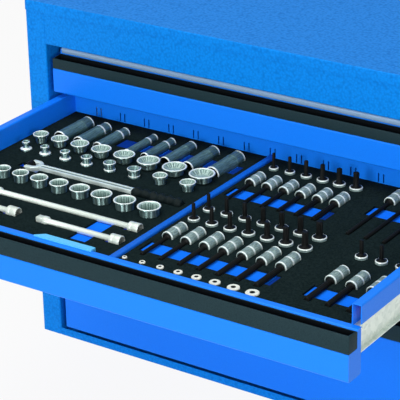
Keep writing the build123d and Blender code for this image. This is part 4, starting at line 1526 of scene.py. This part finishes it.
def dress_solids() -> None:
    """Give every solid that stays in view its finish and smooth bends."""
    for finish, nodes in CAD_FINISHES.items():
        for node in nodes:
            solid = frame["nodes"][node]
            solid.data.materials.clear()
            solid.data.materials.append(finish.material())
            Bench.activate(solid)
            bpy.ops.object.shade_smooth_by_angle(angle=SMOOTH_ANGLE)
        LOG.info("%s on %d solids", finish.name, len(nodes))


@dataclass
class SoftBox:
    """A square lamp that looks at the drawer."""

    name: str
    place: tuple[float, float, float]
    size: float
    power: float

    def build(self, target: Vector) -> None:
        """Hang the lamp and turn it to the target.

        Args:
            target: Point that the lamp looks at.
        """
        lamp = bpy.data.lights.new(self.name, "AREA")
        lamp.shape = "SQUARE"
        lamp.size = self.size
        lamp.energy = self.power
        holder = bpy.data.objects.new(self.name, lamp)
        holder.location = self.place
        holder.rotation_euler = (target - Vector(self.place)).to_track_quat("-Z", "Y").to_euler()
        bpy.context.scene.collection.objects.link(holder)


LAMPS = (
    SoftBox("front_lamp", place=(0.0, -3.3, 1.15), size=1.2, power=51.0),
    SoftBox("right_lamp", place=(2.5, -2.2, 1.15), size=0.9, power=27.0),
    SoftBox("top_lamp", place=(-0.4, -1.0, 3.0), size=1.8, power=37.0),
)


@dataclass
class Studio:
    """Floor, lamps, surroundings and camera."""

    eye: tuple[float, float, float] = (1.3440, -2.3394, 1.4402)
    forward: tuple[float, float, float] = (-0.5144, 0.7546, -0.4075)
    right: tuple[float, float, float] = (0.8311, 0.5558, -0.0200)
    lens: float = 175.52
    sensor: float = 36.0
    floor_size: float = 60.0
    floor_white: float = 0.91
    floor_grey: float = 0.62
    floor_roughness: float = 0.9
    target: tuple[float, float, float] = (0.0, -0.35, 0.35)
    horizon: Colour = (0.55, 0.56, 0.56)
    overhead: Colour = (0.90, 0.91, 0.91)
    overhead_from: float = 0.8
    surroundings: float = 0.62

    def build(self) -> None:
        """Set up everything around the chest."""
        bpy.context.scene.view_settings.view_transform = "Standard"
        self._camera()
        self._floor()
        self._world()
        for lamp in LAMPS:
            lamp.build(Vector(self.target))

    def _camera(self) -> None:
        """Camera at the photographed angle."""
        data = bpy.data.cameras.new("camera")
        data.lens = self.lens
        data.sensor_width = self.sensor
        camera = bpy.data.objects.new("camera", data)
        forward = Vector(self.forward).normalized()
        right = Vector(self.right).normalized()
        up = right.cross(forward)
        turn = Matrix((right, up, -forward)).transposed().to_4x4()
        camera.matrix_world = Matrix.Translation(Vector(self.eye)) @ turn
        bpy.context.scene.collection.objects.link(camera)
        bpy.context.scene.camera = camera

    def _floor(self) -> None:
        """Plain pale floor that keeps the chest's shadow."""
        Bench.clear()
        bpy.ops.mesh.primitive_plane_add(size=self.floor_size)
        floor = bpy.context.object
        floor.name = "floor"
        material = bpy.data.materials.new("floor_white")
        material.use_nodes = True
        nodes, links = material.node_tree.nodes, material.node_tree.links
        shader = nodes["Principled BSDF"]
        shader.inputs["Base Color"].default_value = (*[self.floor_grey] * 3, 1)
        shader.inputs["Roughness"].default_value = self.floor_roughness
        glow = nodes.new("ShaderNodeEmission")
        glow.inputs["Color"].default_value = (1, 1, 1, 1)
        path = nodes.new("ShaderNodeLightPath")
        seen = nodes.new("ShaderNodeMath")
        seen.operation = "MAXIMUM"
        links.new(path.outputs["Is Camera Ray"], seen.inputs[0])
        links.new(path.outputs["Is Glossy Ray"], seen.inputs[1])
        share = nodes.new("ShaderNodeMath")
        share.operation = "MULTIPLY"
        share.inputs[1].default_value = self.floor_white
        links.new(seen.outputs[0], share.inputs[0])
        mix = nodes.new("ShaderNodeMixShader")
        links.new(share.outputs[0], mix.inputs[0])
        links.new(shader.outputs[0], mix.inputs[1])
        links.new(glow.outputs[0], mix.inputs[2])
        links.new(mix.outputs[0], nodes["Material Output"].inputs["Surface"])
        floor.data.materials.append(material)

    def _world(self) -> None:
        """Pale surroundings, brighter overhead."""
        world = bpy.data.worlds.new("surroundings")
        bpy.context.scene.world = world
        world.use_nodes = True
        nodes, links = world.node_tree.nodes, world.node_tree.links
        place = nodes.new("ShaderNodeTexCoord")
        split = nodes.new("ShaderNodeSeparateXYZ")
        links.new(place.outputs["Generated"], split.inputs[0])
        ramp = nodes.new("ShaderNodeValToRGB")
        low, high = ramp.color_ramp.elements
        low.position, low.color = 0.0, (*self.horizon, 1)
        high.position, high.color = self.overhead_from, (*self.overhead, 1)
        links.new(split.outputs["Z"], ramp.inputs[0])
        links.new(ramp.outputs[0], nodes["Background"].inputs["Color"])
        nodes["Background"].inputs["Strength"].default_value = self.surroundings


def main() -> None:
    """Dress the solids, build the tools and set up the studio."""
    logging.basicConfig(level=logging.INFO)
    dress_solids()
    GripStrip("upper", back_drop=7.4, front_drop=9.0).build()
    for drawer in ("socket", "third", "deep"):
        GripStrip(drawer).build()
    LipHighlightBead("upper").build()
    for row in (LARGE_SOCKETS, SMALL_SOCKETS, MEDIUM_SOCKETS):
        row.build()
    DeepSockets().build()
    RecessShadePads().build()
    SunkSockets().build()
    HandleBar().build()
    HandleGrip().build()
    ExtensionBar("long_extension", x=79.0, y=89.0, length=250.0).build()
    ExtensionBar("middle_extension", x=193.5, y=46.0, length=137.0).build()
    ExtensionBar("short_extension", x=82.0, y=46.0, length=79.0).build()
    for bits in BIT_ROWS:
        bits.build()
    Bench.forget_models()
    Studio().build()


if __name__ == "__main__":
    main()
